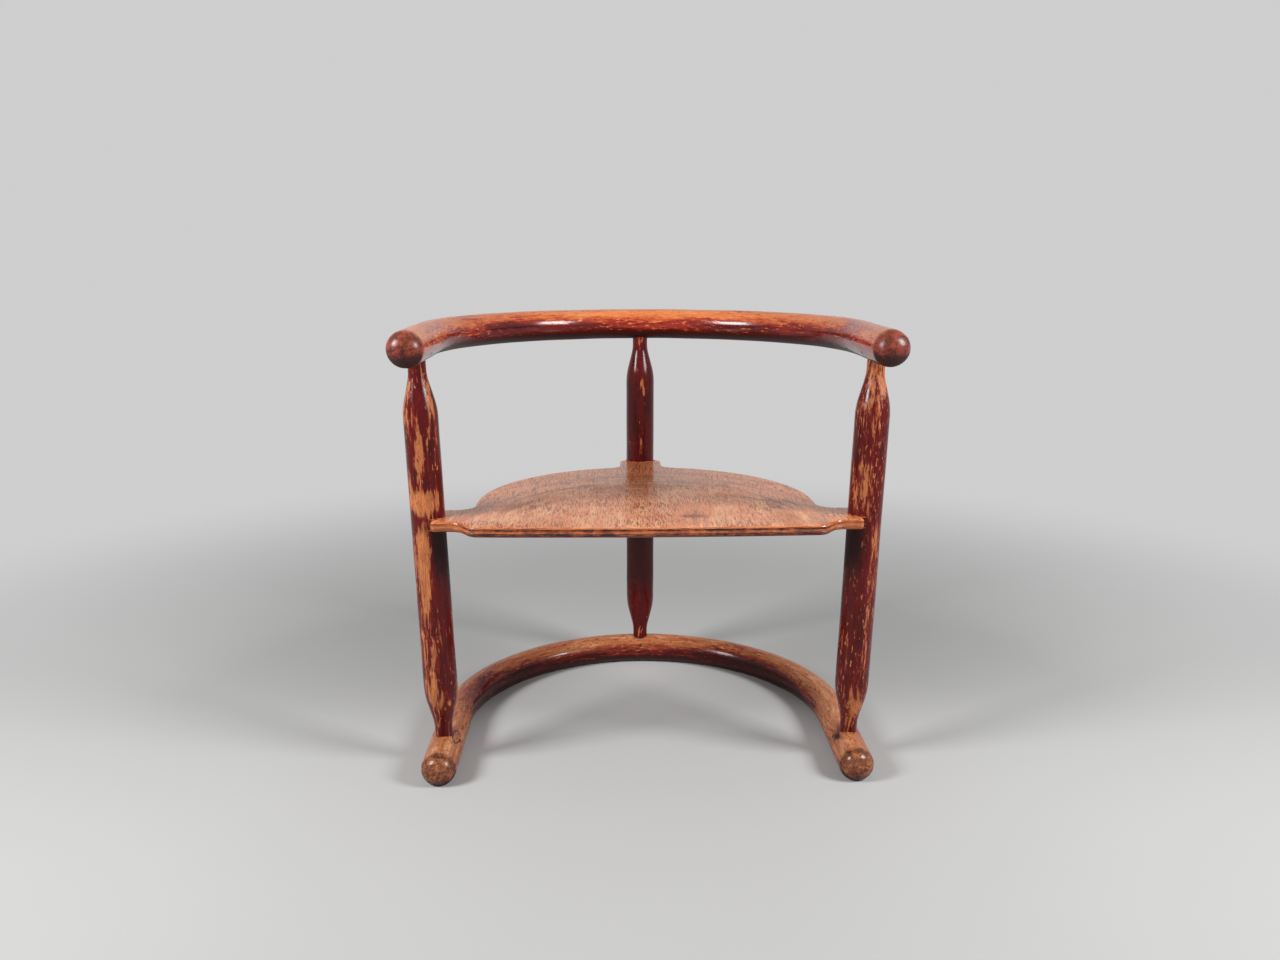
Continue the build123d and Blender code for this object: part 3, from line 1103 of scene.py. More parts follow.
@dataclass
class BentRail(RoundBar):
    """Round bar bent to a half circle, with straight arms and rounded tips."""

    node: str
    radius: float
    bend_radius: float
    bend_y: float
    tip_y: float
    level: float
    upper_film: float
    side_film: float
    under_film: float
    arm_film: float
    arm_evenness: float
    arm_grime: float
    # Strength of the painted shade on the underside of the rail.
    under_shade: float
    finish: LacquerFinish
    spots: tuple[WornSpot, ...] = ()
    stains: tuple[WornSpot, ...] = ()
    tip_shade: float = 0.0
    tip_rounding: float = 14.0 * MM
    sides: int = 56
    ring_gap: float = 4.0 * MM
    tip_rings: int = 10
    hollow_depth: float = 0.30 * MM
    hollow_cell: Vector = Vector((14 * MM, 14 * MM, 48 * MM))
    side_band: Pair = (0.0, 0.85)
    arm_reach: Pair = (90 * MM, 190 * MM)
    arm_facing: Pair = (-1.0, -0.2)
    end_start: float = 7 * MM
    end_past_rounding: float = 2 * MM
    rim_rise: Pair = (3 * MM, 9 * MM)
    rim_fall: Pair = (10 * MM, 17 * MM)
    rim_grime: float = 0.42
    shade: Pair = (0.10, 0.75)
    arm_shade: Pair = (0.4, 0.2)

    @property
    def half_length(self) -> float:
        """Length of the bar's middle line from the middle of the back to a tip."""
        return self.bend_radius * math.pi / 2 + self.bend_y - self.tip_y

    def grain_at(self, point: Vector) -> Vector:
        """Outward, upward and along place in the straightened bar.

        Args:
            point: Place in the chair.

        Returns:
            The place in the bar, counted from the middle of the back, with the right side positive.
        """
        depth = point.y - self.bend_y
        if depth > 0:
            outward = math.hypot(point.x, depth) - self.bend_radius
            along = self.bend_radius * math.atan2(point.x, depth)
        else:
            outward = abs(point.x) - self.bend_radius
            along = math.copysign(self.bend_radius * math.pi / 2 - depth, point.x)
        return Vector((outward, point.z - self.level, along))

    def cover_at(self, grain: Vector) -> Vector:
        """Lacquer, soiling with painted shade on the underside, and end grain at a place in the bar.

        Args:
            grain: Place in the straightened bar.

        Returns:
            The three values.
        """
        size = max(math.hypot(grain.x, grain.y), TINY)
        up = grain.y / size
        angle = math.degrees(math.atan2(-grain.x, grain.y))
        other = self.upper_film if up > 0 else self.under_film
        film = self.side_film + (other - self.side_film) * fade(abs(up), *self.side_band)
        from_tip = self.half_length - abs(grain.z)
        arm = 1.0 - fade(from_tip, *self.arm_reach)
        film += (self.arm_film - film) * arm * self.arm_evenness * fade(up, *self.arm_facing)
        film -= sum(spot.loss_at(grain.z, angle) for spot in self.spots)
        end = 1.0 - fade(from_tip, self.end_start, self.tip_rounding + self.end_past_rounding)
        rim = fade(from_tip, *self.rim_rise) - fade(from_tip, *self.rim_fall)
        # Painted shade on the underside: it starts lower on the tips and reaches less far on the arms.
        arm_less_shade = arm * (1.0 - end)
        shade_start = self.shade[0] + self.arm_shade[0] * arm_less_shade - self.tip_shade * end
        shade_end = self.shade[1] + self.arm_shade[1] * arm_less_shade
        under = fade(-grain.y / self.radius, shade_start, shade_end)
        grime_and_shade = self.under_shade * under + self.arm_grime * arm + self.rim_grime * max(rim, 0.0)
        grime_and_shade += sum(stain.loss_at(grain.z, angle) for stain in self.stains)
        return Vector((film, grime_and_shade, end))

    def tip(self, shape: Shape, ring: Edges, middle: Vector) -> None:
        """Closes an open end with a rounded tip towards the front.

        Args:
            shape: Shape that is added to.
            ring: Open edges of the end.
            middle: Middle of the end.
        """
        radius = self.radius
        reach = 0.0
        for number in range(1, self.tip_rings + 1):
            angle = math.pi / 2 * number / self.tip_rings
            next_radius = self.radius - self.tip_rounding * (1.0 - math.cos(angle))
            next_reach = self.tip_rounding * math.sin(angle)
            grown = bmesh.ops.extrude_edge_only(shape, edges=ring)["geom"]
            space = Matrix.Translation(-(middle - Vector((0.0, reach, 0.0))))
            scale = next_radius / radius
            bmesh.ops.scale(shape, verts=corners(grown), vec=(scale, 1.0, scale), space=space)
            bmesh.ops.translate(shape, verts=corners(grown), vec=(0.0, reach - next_reach, 0.0))
            ring = boundary(grown)
            radius = next_radius
            reach = next_reach
        bmesh.ops.contextual_create(shape, geom=ring)

    def run(self, shape: Shape, ring: Edges, length: float) -> Edges:
        """Runs an end straight on along Y.

        Args:
            shape: Shape that is added to.
            ring: Open edges of the end.
            length: Distance to go, negative towards the front.

        Returns:
            The new open edges.
        """
        steps = max(1, round(abs(length) / self.ring_gap))
        for _ in range(steps):
            grown = bmesh.ops.extrude_edge_only(shape, edges=ring)["geom"]
            bmesh.ops.translate(shape, verts=corners(grown), vec=(0.0, length / steps, 0.0))
            ring = boundary(grown)
        return ring

    def shape(self) -> Shape:
        """Bends the bar, from the right tip round to the left one.

        Returns:
            The closed bar.
        """
        shape = bmesh.new()
        start = Vector((self.bend_radius, self.tip_y + self.tip_rounding, self.level))
        upright = Matrix.Rotation(math.radians(90.0), 4, "X")
        made = bmesh.ops.create_circle(
            shape, segments=self.sides, radius=self.radius, matrix=Matrix.Translation(start) @ upright
        )
        ring = ring_of(made["verts"])
        self.tip(shape, ring, start)
        straight = self.bend_y - start.y
        ring = self.run(shape, ring, straight)
        ring_corners = list({vertex for edge in ring for vertex in edge.verts})
        bend = bmesh.ops.spin(
            shape,
            geom=ring + ring_corners,
            cent=(0.0, self.bend_y, self.level),
            axis=UP,
            angle=math.pi,
            steps=round(math.pi * self.bend_radius / self.ring_gap),
        )
        ring = self.run(shape, edges_of(bend["geom_last"]), -straight)
        self.tip(shape, ring, Vector((-start.x, start.y, start.z)))
        bmesh.ops.recalc_face_normals(shape, faces=shape.faces)
        self.uneven(shape)
        for vertex in shape.verts:
            vertex.co.z = max(vertex.co.z, 0.0)
        return shape


@dataclass
class TurnedPost(RoundBar):
    """Turned post with a thin neck at both ends and a notch for an ear of the seat."""

    node: str
    place: Place
    foot: Vector
    head: Vector
    radius: float
    rail_radius: float
    seat_low: float
    seat_high: float
    film: float
    spots: tuple[WornSpot, ...]
    finish: LacquerFinish
    # Strength of the painted shade below the seat.
    low_shade: float
    joinery: Joinery
    neck_length: float = 11.5 * MM
    taper_length: float = 29.0 * MM
    neck_blend: float = 40.0 * MM
    shoulder_blend: float = 70.0 * MM
    sides: int = 56
    ring_gap: float = 3.0 * MM
    spun_weld: float = 0.01 * MM
    hollow_depth: float = 0.22 * MM
    hollow_cell: Vector = Vector((11 * MM, 11 * MM, 40 * MM))
    foot_dirt: float = 7 * MM
    head_dirt: float = 5 * MM
    joint_grime: float = 0.35
    # Reach below the seat and facing of the painted seat shadow on the inner side, then of the painted shade
    # below the seat.
    seat_shade: Pair = (80 * MM, 15 * MM)
    shade_facing: Pair = (0.0, 0.5)
    below_seat: float = 20 * MM
    above_rail: Pair = (25 * MM, 85 * MM)
    low_facing: Pair = (-0.4, 0.3)

    @property
    def way(self) -> Vector:
        """Direction from foot to head."""
        return (self.head - self.foot).normalized()

    @property
    def span(self) -> float:
        """Distance between the middle lines of the two rails."""
        return (self.head - self.foot).length

    def stand(self) -> Matrix:
        """Transform that stands the turned shape on its foot."""
        turn = UP.rotation_difference(self.way)
        return Matrix.Translation(self.foot) @ turn.to_matrix().to_4x4()

    def axis_at(self, height: float) -> Vector:
        """Middle of the post at a height above the floor."""
        return self.foot + (self.head - self.foot) * ((height - self.foot.z) / (self.head.z - self.foot.z))

    def radius_at(self, along: float) -> float:
        """Radius of the post at a distance along it.

        Args:
            along: Distance from the middle of the base rail.

        Returns:
            The radius there, with soft corners where the taper starts and ends.
        """
        from_rail = min(along, self.span - along) - self.rail_radius
        slope = (self.radius - self.joinery.neck_radius) / self.taper_length
        neck_half = self.neck_blend * slope / 2
        shoulder_half = self.shoulder_blend * slope / 2
        rise = from_rail - self.neck_length
        left = self.taper_length - rise
        if rise <= -neck_half:
            return self.joinery.neck_radius
        if rise < neck_half:
            return self.joinery.neck_radius + slope * (rise + neck_half) ** 2 / (4 * neck_half)
        if left > shoulder_half:
            return self.joinery.neck_radius + slope * rise
        if left > -shoulder_half:
            return self.radius - slope * (left + shoulder_half) ** 2 / (4 * shoulder_half)
        return self.radius

    def grain_at(self, point: Vector) -> Vector:
        """Place in the post: to the right and to the back of its middle, and the height above the floor."""
        middle = self.axis_at(point.z)
        return Vector((point.x - middle.x, point.y - middle.y, point.z))

    def cover_at(self, grain: Vector) -> Vector:
        """Lacquer, soiling with the painted seat shadow and painted shade below the seat, and end grain at a
        place in the post.

        Args:
            grain: Place in the post.

        Returns:
            The three values.
        """
        angle = math.degrees(math.atan2(grain.x, -grain.y))
        film = self.film - sum(spot.loss_at(grain.z, angle) for spot in self.spots)
        low = grain.z - self.foot.z - self.rail_radius
        high = self.head.z - self.rail_radius - grain.z
        joint = max(1.0 - fade(low, 0.0, self.foot_dirt), 1.0 - fade(high, 0.0, self.head_dirt))
        # Painted shadow of the seat on the post's inner side, within a reach below the seat.
        under_seat = fade(grain.z, *(self.seat_low - reach for reach in self.seat_shade))
        under_seat *= 1.0 if grain.z < self.seat_low else 0.0
        facing = Vector((grain.x, grain.y, 0.0)).dot(self.place.inward) / self.radius
        grime_and_shade = self.joint_grime * joint + under_seat * fade(facing, *self.shade_facing)
        # Painted shade below the seat, on the side facing into the chair, fading out above the base rail.
        below = fade(self.seat_low - grain.z, 0.0, self.below_seat) * fade(low, *self.above_rail)
        grime_and_shade += self.low_shade * below * fade(facing, *self.low_facing)
        return Vector((film, grime_and_shade, 0.0))

    def notch(self) -> Shape:
        """Cutter for the level slot that takes an ear of the seat.

        Returns:
            The cutter.
        """
        joinery = self.joinery
        wall = self.axis_at((self.seat_low + self.seat_high) / 2)
        wall += self.place.inward * (self.radius - joinery.notch_depth)
        depth = joinery.notch_depth + joinery.margin
        height = self.seat_high - self.seat_low + joinery.glue_gap
        middle = wall + self.place.inward * (depth / 2)
        middle.z = self.seat_low + height / 2
        width = 2 * (self.radius + joinery.margin)
        size = (depth, width, height) if self.place is not Place.BACK else (width, depth, height)
        shape = bmesh.new()
        stretch = Matrix.Diagonal((*size, 1.0))
        bmesh.ops.create_cube(shape, size=1.0, matrix=Matrix.Translation(middle) @ stretch)
        return shape

    def shape(self) -> Shape:
        """Turns the post from tenon to tenon.

        Returns:
            The closed post, standing in its place.
        """
        shape = bmesh.new()
        start = self.rail_radius - self.joinery.tenon_depth
        length = self.span - 2 * start
        steps = round(length / self.ring_gap)
        heights = [start + length * number / steps for number in range(steps + 1)]
        outline = [(0.0, heights[0])]
        outline += [(self.radius_at(height), height) for height in heights]
        outline.append((0.0, heights[-1]))
        line = [shape.verts.new((radius, 0.0, height)) for radius, height in outline]
        edges = [shape.edges.new(pair) for pair in zip(line, line[1:])]
        bmesh.ops.spin(
            shape,
            geom=line + edges,
            cent=(0.0, 0.0, 0.0),
            axis=UP,
            angle=math.tau,
            steps=self.sides,
            use_merge=True,
        )
        bmesh.ops.remove_doubles(shape, verts=shape.verts, dist=self.spun_weld)
        bmesh.ops.recalc_face_normals(shape, faces=shape.faces)
        bmesh.ops.transform(shape, matrix=self.stand(), verts=shape.verts)
        self.uneven(shape)
        return shape


TOP_FINISH = LacquerFinish(
    name="arm_rail_lacquer",
    colours=(
        (0.0, Tint.PALE_WOOD),
        (0.22, Tint.ORANGE_WOOD),
        (0.44, Tint.THIN_LACQUER),
        (0.60, Tint.RED_LACQUER),
        (0.80, Tint.MAROON_LACQUER),
        (1.0, Tint.DARK_LACQUER),
    ),
    end_light=Tint.END_RED,
    end_dark=Tint.END_MAROON,
    patch_width=5.0 * MM,
    patch_stretch=8.0,
    patch_gain=0.45,
    fleck_width=1.8 * MM,
    fleck_stretch=5.0,
    fleck_gain=0.20,
    drift_gain=0.60,
    sharpness=1.7,
    line_weight=0.30,
    wood_roughness=0.25,
    lacquer_roughness=0.16,
    film_depth=0.03 * MM,
    wave_depth=0.10 * MM,
    end_roughness=0.16,
    gloss=0.40,
)
BASE_FINISH = LacquerFinish(
    name="base_rail_lacquer",
    colours=(
        (0.0, Tint.TAN_WOOD),
        (0.26, Tint.BROWN_WOOD),
        (0.48, Tint.THIN_BROWN),
        (0.62, Tint.BROWN_LACQUER),
        (0.76, Tint.MAROON_LACQUER),
        # The black end is reached on the underside and lower sides, where it is partly painted shade.
        (1.0, Tint.BLACK_LACQUER),
    ),
    end_light=Tint.END_TAN,
    end_dark=Tint.END_BROWN,
    patch_width=6.0 * MM,
    patch_stretch=6.0,
    patch_gain=0.70,
    fleck_width=1.9 * MM,
    fleck_stretch=4.0,
    fleck_gain=0.20,
    drift_gain=0.50,
    sharpness=1.7,
    line_weight=0.85,
    speck_width=2.2 * MM,
    speck_length=3.6 * MM,
    crack=Crack(along=-0.367, angle=43.0),
)
POST_FINISH = LacquerFinish(
    name="post_lacquer",
    colours=(
        (0.0, Tint.POST_WOOD),
        (0.30, Tint.BROWN_WOOD),
        (0.50, Tint.THIN_BROWN),
        (0.64, Tint.MAROON_LACQUER),
        (1.0, Tint.DARK_LACQUER),
    ),
    end_light=Tint.END_RED,
    end_dark=Tint.END_MAROON,
    patch_width=3.6 * MM,
    patch_stretch=8.0,
    patch_gain=1.25,
    fleck_width=1.6 * MM,
    fleck_stretch=5.0,
    fleck_gain=0.33,
    drift_gain=0.45,
    sharpness=2.4,
    line_weight=0.60,
)
LEFT_FINISH = replace(
    POST_FINISH,
    name="left_post_lacquer",
    patch_width=4.2 * MM,
    patch_stretch=9.0,
    patch_gain=1.45,
    fleck_width=1.9 * MM,
    fleck_gain=0.26,
    sharpness=2.6,
)


CROSSBAND_FINISH = PlyEdgeFinish(
    name="crossband_edge",
    light=Tint.EDGE_BROWN,
    dark=Tint.EDGE_DARK,
    dark_share=0.58,
    line_height=0.5 * MM,
    line_length=13 * MM,
)
CORE_FINISH = PlyEdgeFinish(
    name="core_edge",
    light=Tint.EDGE_ORANGE,
    dark=Tint.EDGE_RED,
    dark_share=0.50,
    line_height=0.5 * MM,
    line_length=12 * MM,
)
UNDERSIDE_FINISH = PlyEdgeFinish(
    name="seat_underside",
    light=Tint.EDGE_RED,
    dark=Tint.MAROON_LACQUER,
    dark_share=0.55,
    line_height=8 * MM,
    line_length=30 * MM,
)


@dataclass
class BentwoodFrame:
    """The two rails and three posts, with their joints."""

    joinery: Joinery
    rail_radius: float = field(init=False)
    post_radius: float = field(init=False)
    top_level: float = field(init=False)
    base_level: float = field(init=False)
    top_bend: float = field(init=False)
    base_bend: float = field(init=False)
    back_y: float = field(init=False)
    top_tip_y: float = field(init=False)
    base_tip_y: float = field(init=False)
    front_y: float = field(init=False)
    seat_low: float = field(init=False)
    seat_high: float = field(init=False)

    def __post_init__(self) -> None:
        """Reads the frame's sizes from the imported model."""
        top_low, top_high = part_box("top_rail")
        base_low, base_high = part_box("base_rail")
        post_low, post_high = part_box("back_post")
        self.rail_radius = (top_high.z - top_low.z) / 2
        self.post_radius = (post_high.x - post_low.x) / 2
        self.top_level = (top_high.z + top_low.z) / 2
        self.base_level = base_high.z - self.rail_radius
        self.top_bend = (top_high.x - top_low.x) / 2 - self.rail_radius
        self.base_bend = (base_high.x - base_low.x) / 2 - self.rail_radius
        self.back_y = (post_high.y + post_low.y) / 2
        self.top_tip_y = top_low.y
        self.base_tip_y = base_low.y
        front_low, front_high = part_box("front_post_right")
        self.front_y = (front_high.y + front_low.y) / 2
        self.seat_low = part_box("seat_back_veneer")[0].z
        self.seat_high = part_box("seat_face_veneer")[1].z

    def rails(self) -> list[BentRail]:
        """The base rail and the rail of arms and back.

        Returns:
            Both rails.
        """
        base = BentRail(
            node="base_rail",
            radius=self.rail_radius,
            bend_radius=self.base_bend,
            bend_y=self.back_y - self.base_bend,
            tip_y=self.base_tip_y,
            level=self.base_level,
            upper_film=0.35,
            side_film=0.76,
            # Past full film the underside turns black, which partly stands in for shade under the rail.
            under_film=1.10,
            arm_film=0.20,
            arm_evenness=0.6,
            arm_grime=0.22,
            under_shade=0.60,
            finish=BASE_FINISH,
            spots=worn_spots(
                (-0.245, 45.0, 0.080, 70.0, -0.28),
                (0.160, 70.0, 0.060, 32.0, -0.20),
                (0.364, 0.0, 0.013, 55.0, -0.30),
                (-0.362, 0.0, 0.009, 45.0, -0.22),
            ),
            stains=worn_spots(
                (0.372, 48.0, 0.009, 22.0, 0.75),
                (-0.245, 45.0, 0.075, 80.0, 0.34),
                (0.160, 85.0, 0.075, 38.0, 0.52),
            ),
        )
        top = BentRail(
            node="top_rail",
            radius=self.rail_radius,
            bend_radius=self.top_bend,
            bend_y=self.back_y - self.top_bend,
            tip_y=self.top_tip_y,
            level=self.top_level,
            upper_film=0.35,
            side_film=0.69,
            under_film=0.95,
            arm_film=0.45,
            arm_evenness=0.6,
            arm_grime=0.0,
            under_shade=1.05,
            tip_shade=0.35,
            finish=TOP_FINISH,
            spots=worn_spots(
                (0.330, 15.0, 0.070, 60.0, -0.10),
                (0.225, 15.0, 0.050, 50.0, -0.10),
                (0.100, 62.0, 0.060, 30.0, 0.11),
                (-0.215, 25.0, 0.060, 55.0, -0.13),
            ),
        )
        return [base, top]

    def post(
        self,
        node: str,
        place: Place,
        film: float,
        spots: tuple[WornSpot, ...],
        finish: LacquerFinish,
        low_shade: float = 0.0,
    ) -> TurnedPost:
        """One post between the rails.

        Args:
            node: CAD node that the post stands for.
            place: Where it stands.
            film: How much of the lacquer is left on it.
            spots: Places where more or less is left.
            finish: Its finish.
            low_shade: How much painted shade darkens it below the seat.

        Returns:
            The post.
        """
        side = -place.inward.x
        y = self.back_y if place is Place.BACK else self.front_y
        return TurnedPost(
            node=node,
            place=place,
            foot=Vector((side * self.base_bend, y, self.base_level)),
            head=Vector((side * self.top_bend, y, self.top_level)),
            radius=self.post_radius,
            rail_radius=self.rail_radius,
            seat_low=self.seat_low,
            seat_high=self.seat_high,
            film=film,
            spots=spots,
            finish=finish,
            low_shade=low_shade,
            joinery=self.joinery,
        )

    def posts(self) -> list[TurnedPost]:
        """The three posts with the wear of each.

        Returns:
            The posts.
        """
        left = worn_spots(
            (0.257, -5.0, 0.010, 75.0, 0.50),
            (0.302, -6.0, 0.030, 15.0, 0.34),
            (0.165, -14.0, 0.065, 28.0, 0.30),
            (0.215, -12.0, 0.030, 34.0, 0.26),
            (0.072, -25.0, 0.022, 25.0, 0.25),
            (0.195, 55.0, 0.045, 35.0, -0.45),
            (0.335, 5.0, 0.035, 26.0, -0.22),
            (0.340, 50.0, 0.034, 18.0, 0.24),
            (0.345, -48.0, 0.030, 20.0, 0.22),
            (0.240, -35.0, 0.009, 24.0, -0.45),
            (0.048, 0.0, 0.016, 400.0, -0.06),
        )
        right = worn_spots(
            (0.370, 0.0, 0.018, 400.0, 0.30),
            (0.270, -25.0, 0.024, 40.0, 0.25),
            (0.150, 25.0, 0.080, 18.0, 0.18),
            (0.215, 42.0, 0.040, 26.0, 0.26),
            (0.342, -25.0, 0.016, 50.0, 0.16),
            (0.044, 0.0, 0.014, 400.0, 0.12),
            (0.058, 5.0, 0.014, 40.0, 0.40),
        )
        back = worn_spots(
            (0.262, 2.0, 0.014, 8.0, 0.60),
            (0.376, 0.0, 0.009, 28.0, 0.50),
            (0.036, 0.0, 0.010, 40.0, 0.45),
            (0.331, 6.0, 0.006, 9.0, 0.60),
            (0.320, 14.0, 0.005, 8.0, 0.55),
            (0.345, -12.0, 0.005, 7.0, 0.50),
        )
        return [
            self.post("front_post_left", Place.LEFT, 0.68, left, LEFT_FINISH),
            self.post("front_post_right", Place.RIGHT, 0.74, right, POST_FINISH),
            # The back post gets strong painted shade below the seat.
            self.post("back_post", Place.BACK, 0.98, back, POST_FINISH, 0.90),
        ]

    def build(self) -> list[TurnedPost]:
        """Builds and dresses the rails and posts.

        Returns:
            The posts, which the seat is joined to.
        """
        posts = self.posts()
        for rail, rise in zip(self.rails(), (1.0, -1.0)):
            piece = finish_mesh(f"bent_{rail.node}", rail.shape())
            cutters = []
            for post in posts:
                middle = post.foot if rise > 0 else post.head
                cutters.append(self.joinery.tenon_hole(middle, post.way * rise, rail.radius))
                cutters.append(self.joinery.pin_hole(middle, post.place.inward, rise, rail.radius))
            carve(piece, cutters)
            rail.paint(piece)
            smooth(piece)
            dress(piece, rail.finish.material(), Slot.RAIL, rail.node)
        for post in posts:
            piece = finish_mesh(f"turned_{post.node}", post.shape())
            carve(piece, [post.notch()])
            post.paint(piece)
            smooth(piece)
            dress(piece, post.finish.material(), Slot.POST, post.node)
        return posts


class Ply(NamedTuple):
    """One layer of the seat.

    The setback is how far its edge lies back. The open side is 1 for the top layer, -1 for the bottom one
    and 0 for the layers between.
    """

    node: str
    slot: Slot
    material: Material
    setback: float
    open_side: float = 0.0


@dataclass
class PlySeat:
    """Seat of five glued layers, with lacquer in the corners where its ears enter the posts."""

    posts: list[TurnedPost]
    crossband_setback: float = 0.25 * MM
    core_setback: float = 0.05 * MM
    flat_angle: float = 0.5
    upright_share: float = 0.9
    ear_turn: float = 50.0
    flat_share: float = 0.9
    rim_share: float = 0.5
    cut_gap: float = 6.0 * MM
    edge_wear: float = 0.35 * MM
    wear_cell: float = 7.0 * MM
    wear_seed: float = 3.7
    ear_rounding: float = 2.5 * MM
    rim_rounding: float = 0.7 * MM
    rounding_steps: int = 4
    bead_radius: float = 2.6 * MM
    bead_sides: int = 10
    bead_steps: int = 36
    bead_wobble: float = 0.6 * MM
    bead_wobble_cell: float = 5.0 * MM
    bead_sharp_angle: float = 70.0

    def layers(self) -> list[Ply]:
        """The layers with the finish of each.

        Returns:
            The layers from the top down.
        """
        front_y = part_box("seat_core_veneer")[0].y
        face = SeatFaceFinish("seat_face_lacquer", oval_middle_y=front_y).material()
        cross = CROSSBAND_FINISH.material()
        core = CORE_FINISH.material()
        under = UNDERSIDE_FINISH.material()
        return [
            Ply("seat_face_veneer", Slot.VENEER, face, 0.0, 1.0),
            Ply("seat_crossband_upper", Slot.CROSSBAND, cross, self.crossband_setback),
            Ply("seat_core_veneer", Slot.VENEER, core, self.core_setback),
            Ply("seat_crossband_lower", Slot.CROSSBAND, cross, self.crossband_setback),
            Ply("seat_back_veneer", Slot.VENEER, under, 0.0, -1.0),
        ]

    def round_off(self, shape: Shape, open_side: float) -> None:
        """Rounds the upright corners of the ears, and the rim of the top or bottom layer.

        Args:
            shape: Shape of the layer.
            open_side: Side of the layer that is open, as for a ply.
        """
        ears = []
        for edge in shape.edges:
            way = (edge.verts[0].co - edge.verts[1].co).normalized()
            sharp = edge.calc_face_angle_signed(0.0) > math.radians(self.ear_turn)
            if abs(way.z) > self.upright_share and sharp:
                ears.append(edge)
        self.bevel(shape, ears, self.ear_rounding)
        shape.normal_update()
        rim = []
        for edge in shape.edges:
            tilts = [face.normal.z * open_side for face in edge.link_faces]
            if max(tilts) > self.flat_share and min(tilts) < self.rim_share:
                rim.append(edge)
        if rim:
            self.bevel(shape, rim, self.rim_rounding)

    def bevel(self, shape: Shape, edges: Edges, size: float) -> None:
        """Rounds edges of a layer.

        Args:
            shape: Shape of the layer.
            edges: Edges to round.
            size: How far the rounding reaches from an edge.
        """
        bmesh.ops.bevel(
            shape,
            geom=edges,
            offset=size,
            affect="EDGES",
            segments=self.rounding_steps,
            profile=0.5,
            material=-1,
            clamp_overlap=True,
        )

    def cut_fine(self, shape: Shape) -> None:
        """Cuts a layer along a grid, so that its edge has points to wear down.

        Args:
            shape: Shape of the layer.
        """
        low = [min(vertex.co[axis] for vertex in shape.verts) for axis in range(2)]
        high = [max(vertex.co[axis] for vertex in shape.verts) for axis in range(2)]
        for axis, normal in enumerate((Vector((1.0, 0.0, 0.0)), Vector((0.0, 1.0, 0.0)))):
            count = int((high[axis] - low[axis]) / self.cut_gap)
            for number in range(1, count):
                share = low[axis] + (high[axis] - low[axis]) * number / count
                everything = shape.verts[:] + shape.edges[:] + shape.faces[:]
                bmesh.ops.bisect_plane(
                    shape, geom=everything, dist=WELD, plane_co=normal * share, plane_no=normal
                )

    def wear_edge(self, shape: Shape, setback: float, seed: float) -> None:
        """Wears the rim of a layer back unevenly.

        Args:
            shape: Shape of the layer.
            setback: How far the whole rim lies back.
            seed: Shift that makes one layer differ from another.
        """
        shape.normal_update()
        moves = []
        for vertex in shape.verts:
            level = Vector((vertex.normal.x, vertex.normal.y, 0.0))
            spot = Vector((vertex.co.x / self.wear_cell, vertex.co.y / self.wear_cell, seed))
            loss = setback + self.edge_wear * max(0.0, noise.noise(spot))
            moves.append(level * -loss)
        shift(shape, moves)

    def bead(self, post: TurnedPost) -> Shape:
        """Lacquer in the corner between an ear and its post, above and below the ear.

        Args:
            post: The post.

        Returns:
            Both beads.
        """
        half = math.acos((post.radius - post.joinery.notch_depth) / post.radius)
        inward = math.atan2(post.place.inward.y, post.place.inward.x)
        shape = bmesh.new()
        for level in (post.seat_high, post.seat_low):
            middle = post.axis_at(level)
            start = Vector((math.cos(inward - half), math.sin(inward - half), 0.0))
            outward = start.to_track_quat("Z", "Y").to_matrix().to_4x4()
            upright = outward @ Matrix.Rotation(math.pi / 2, 4, "X")
            made = bmesh.ops.create_circle(
                shape,
                segments=self.bead_sides,
                radius=self.bead_radius,
                matrix=Matrix.Translation(middle + start * post.radius) @ upright,
            )
            ring = ring_of(made["verts"])
            bmesh.ops.contextual_create(shape, geom=ring)
            swept = bmesh.ops.spin(
                shape,
                geom=made["verts"] + ring,
                cent=middle,
                axis=UP,
                angle=2 * half,
                steps=self.bead_steps,
            )
            bmesh.ops.contextual_create(shape, geom=edges_of(swept["geom_last"]))
        bmesh.ops.remove_doubles(shape, verts=shape.verts, dist=WELD)
        bmesh.ops.recalc_face_normals(shape, faces=shape.faces)
        shape.normal_update()
        moves = []
        for vertex in shape.verts:
            wobble = noise.noise(vertex.co / self.bead_wobble_cell)
            moves.append(vertex.normal * (self.bead_wobble * wobble))
        shift(shape, moves)
        return shape

    def build(self) -> None:
        """Builds and dresses the layers and the beads."""
        for number, ply in enumerate(self.layers()):
            shape = bmesh.new()
            shape.from_mesh(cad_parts[ply.node].data)
            bmesh.ops.remove_doubles(shape, verts=shape.verts, dist=WELD)
            bmesh.ops.dissolve_limit(
                shape, angle_limit=math.radians(self.flat_angle), verts=shape.verts, edges=shape.edges
            )
            self.round_off(shape, ply.open_side)
            self.cut_fine(shape)
            self.wear_edge(shape, ply.setback, self.wear_seed * number)
            piece = finish_mesh(f"worn_{ply.node}", shape)
            smooth(piece)
            dress(piece, ply.material, ply.slot, ply.node)
        bead_material = BeadFinish("joint_lacquer").material()
        for post in self.posts:
            piece = finish_mesh(f"lacquer_bead_{post.place.name.lower()}", self.bead(post))
            smooth(piece, self.bead_sharp_angle)
            dress(piece, bead_material, Slot.POST)


class LockingPins:
    """The six pins that lock the tenons in the rails."""

    nodes = tuple(f"{rail}_pin_{place.name.lower()}" for rail in ("base", "top") for place in Place)

    def build(self) -> None:
        """Gives the pins their finish."""
        material = PinFinish("dark_pin_steel").material()
        for node in self.nodes:
            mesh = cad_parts[node].data
            mesh.materials.clear()
            mesh.materials.append(material)
            LOG.info("%s: shown as it is, with %s", node, material.name)


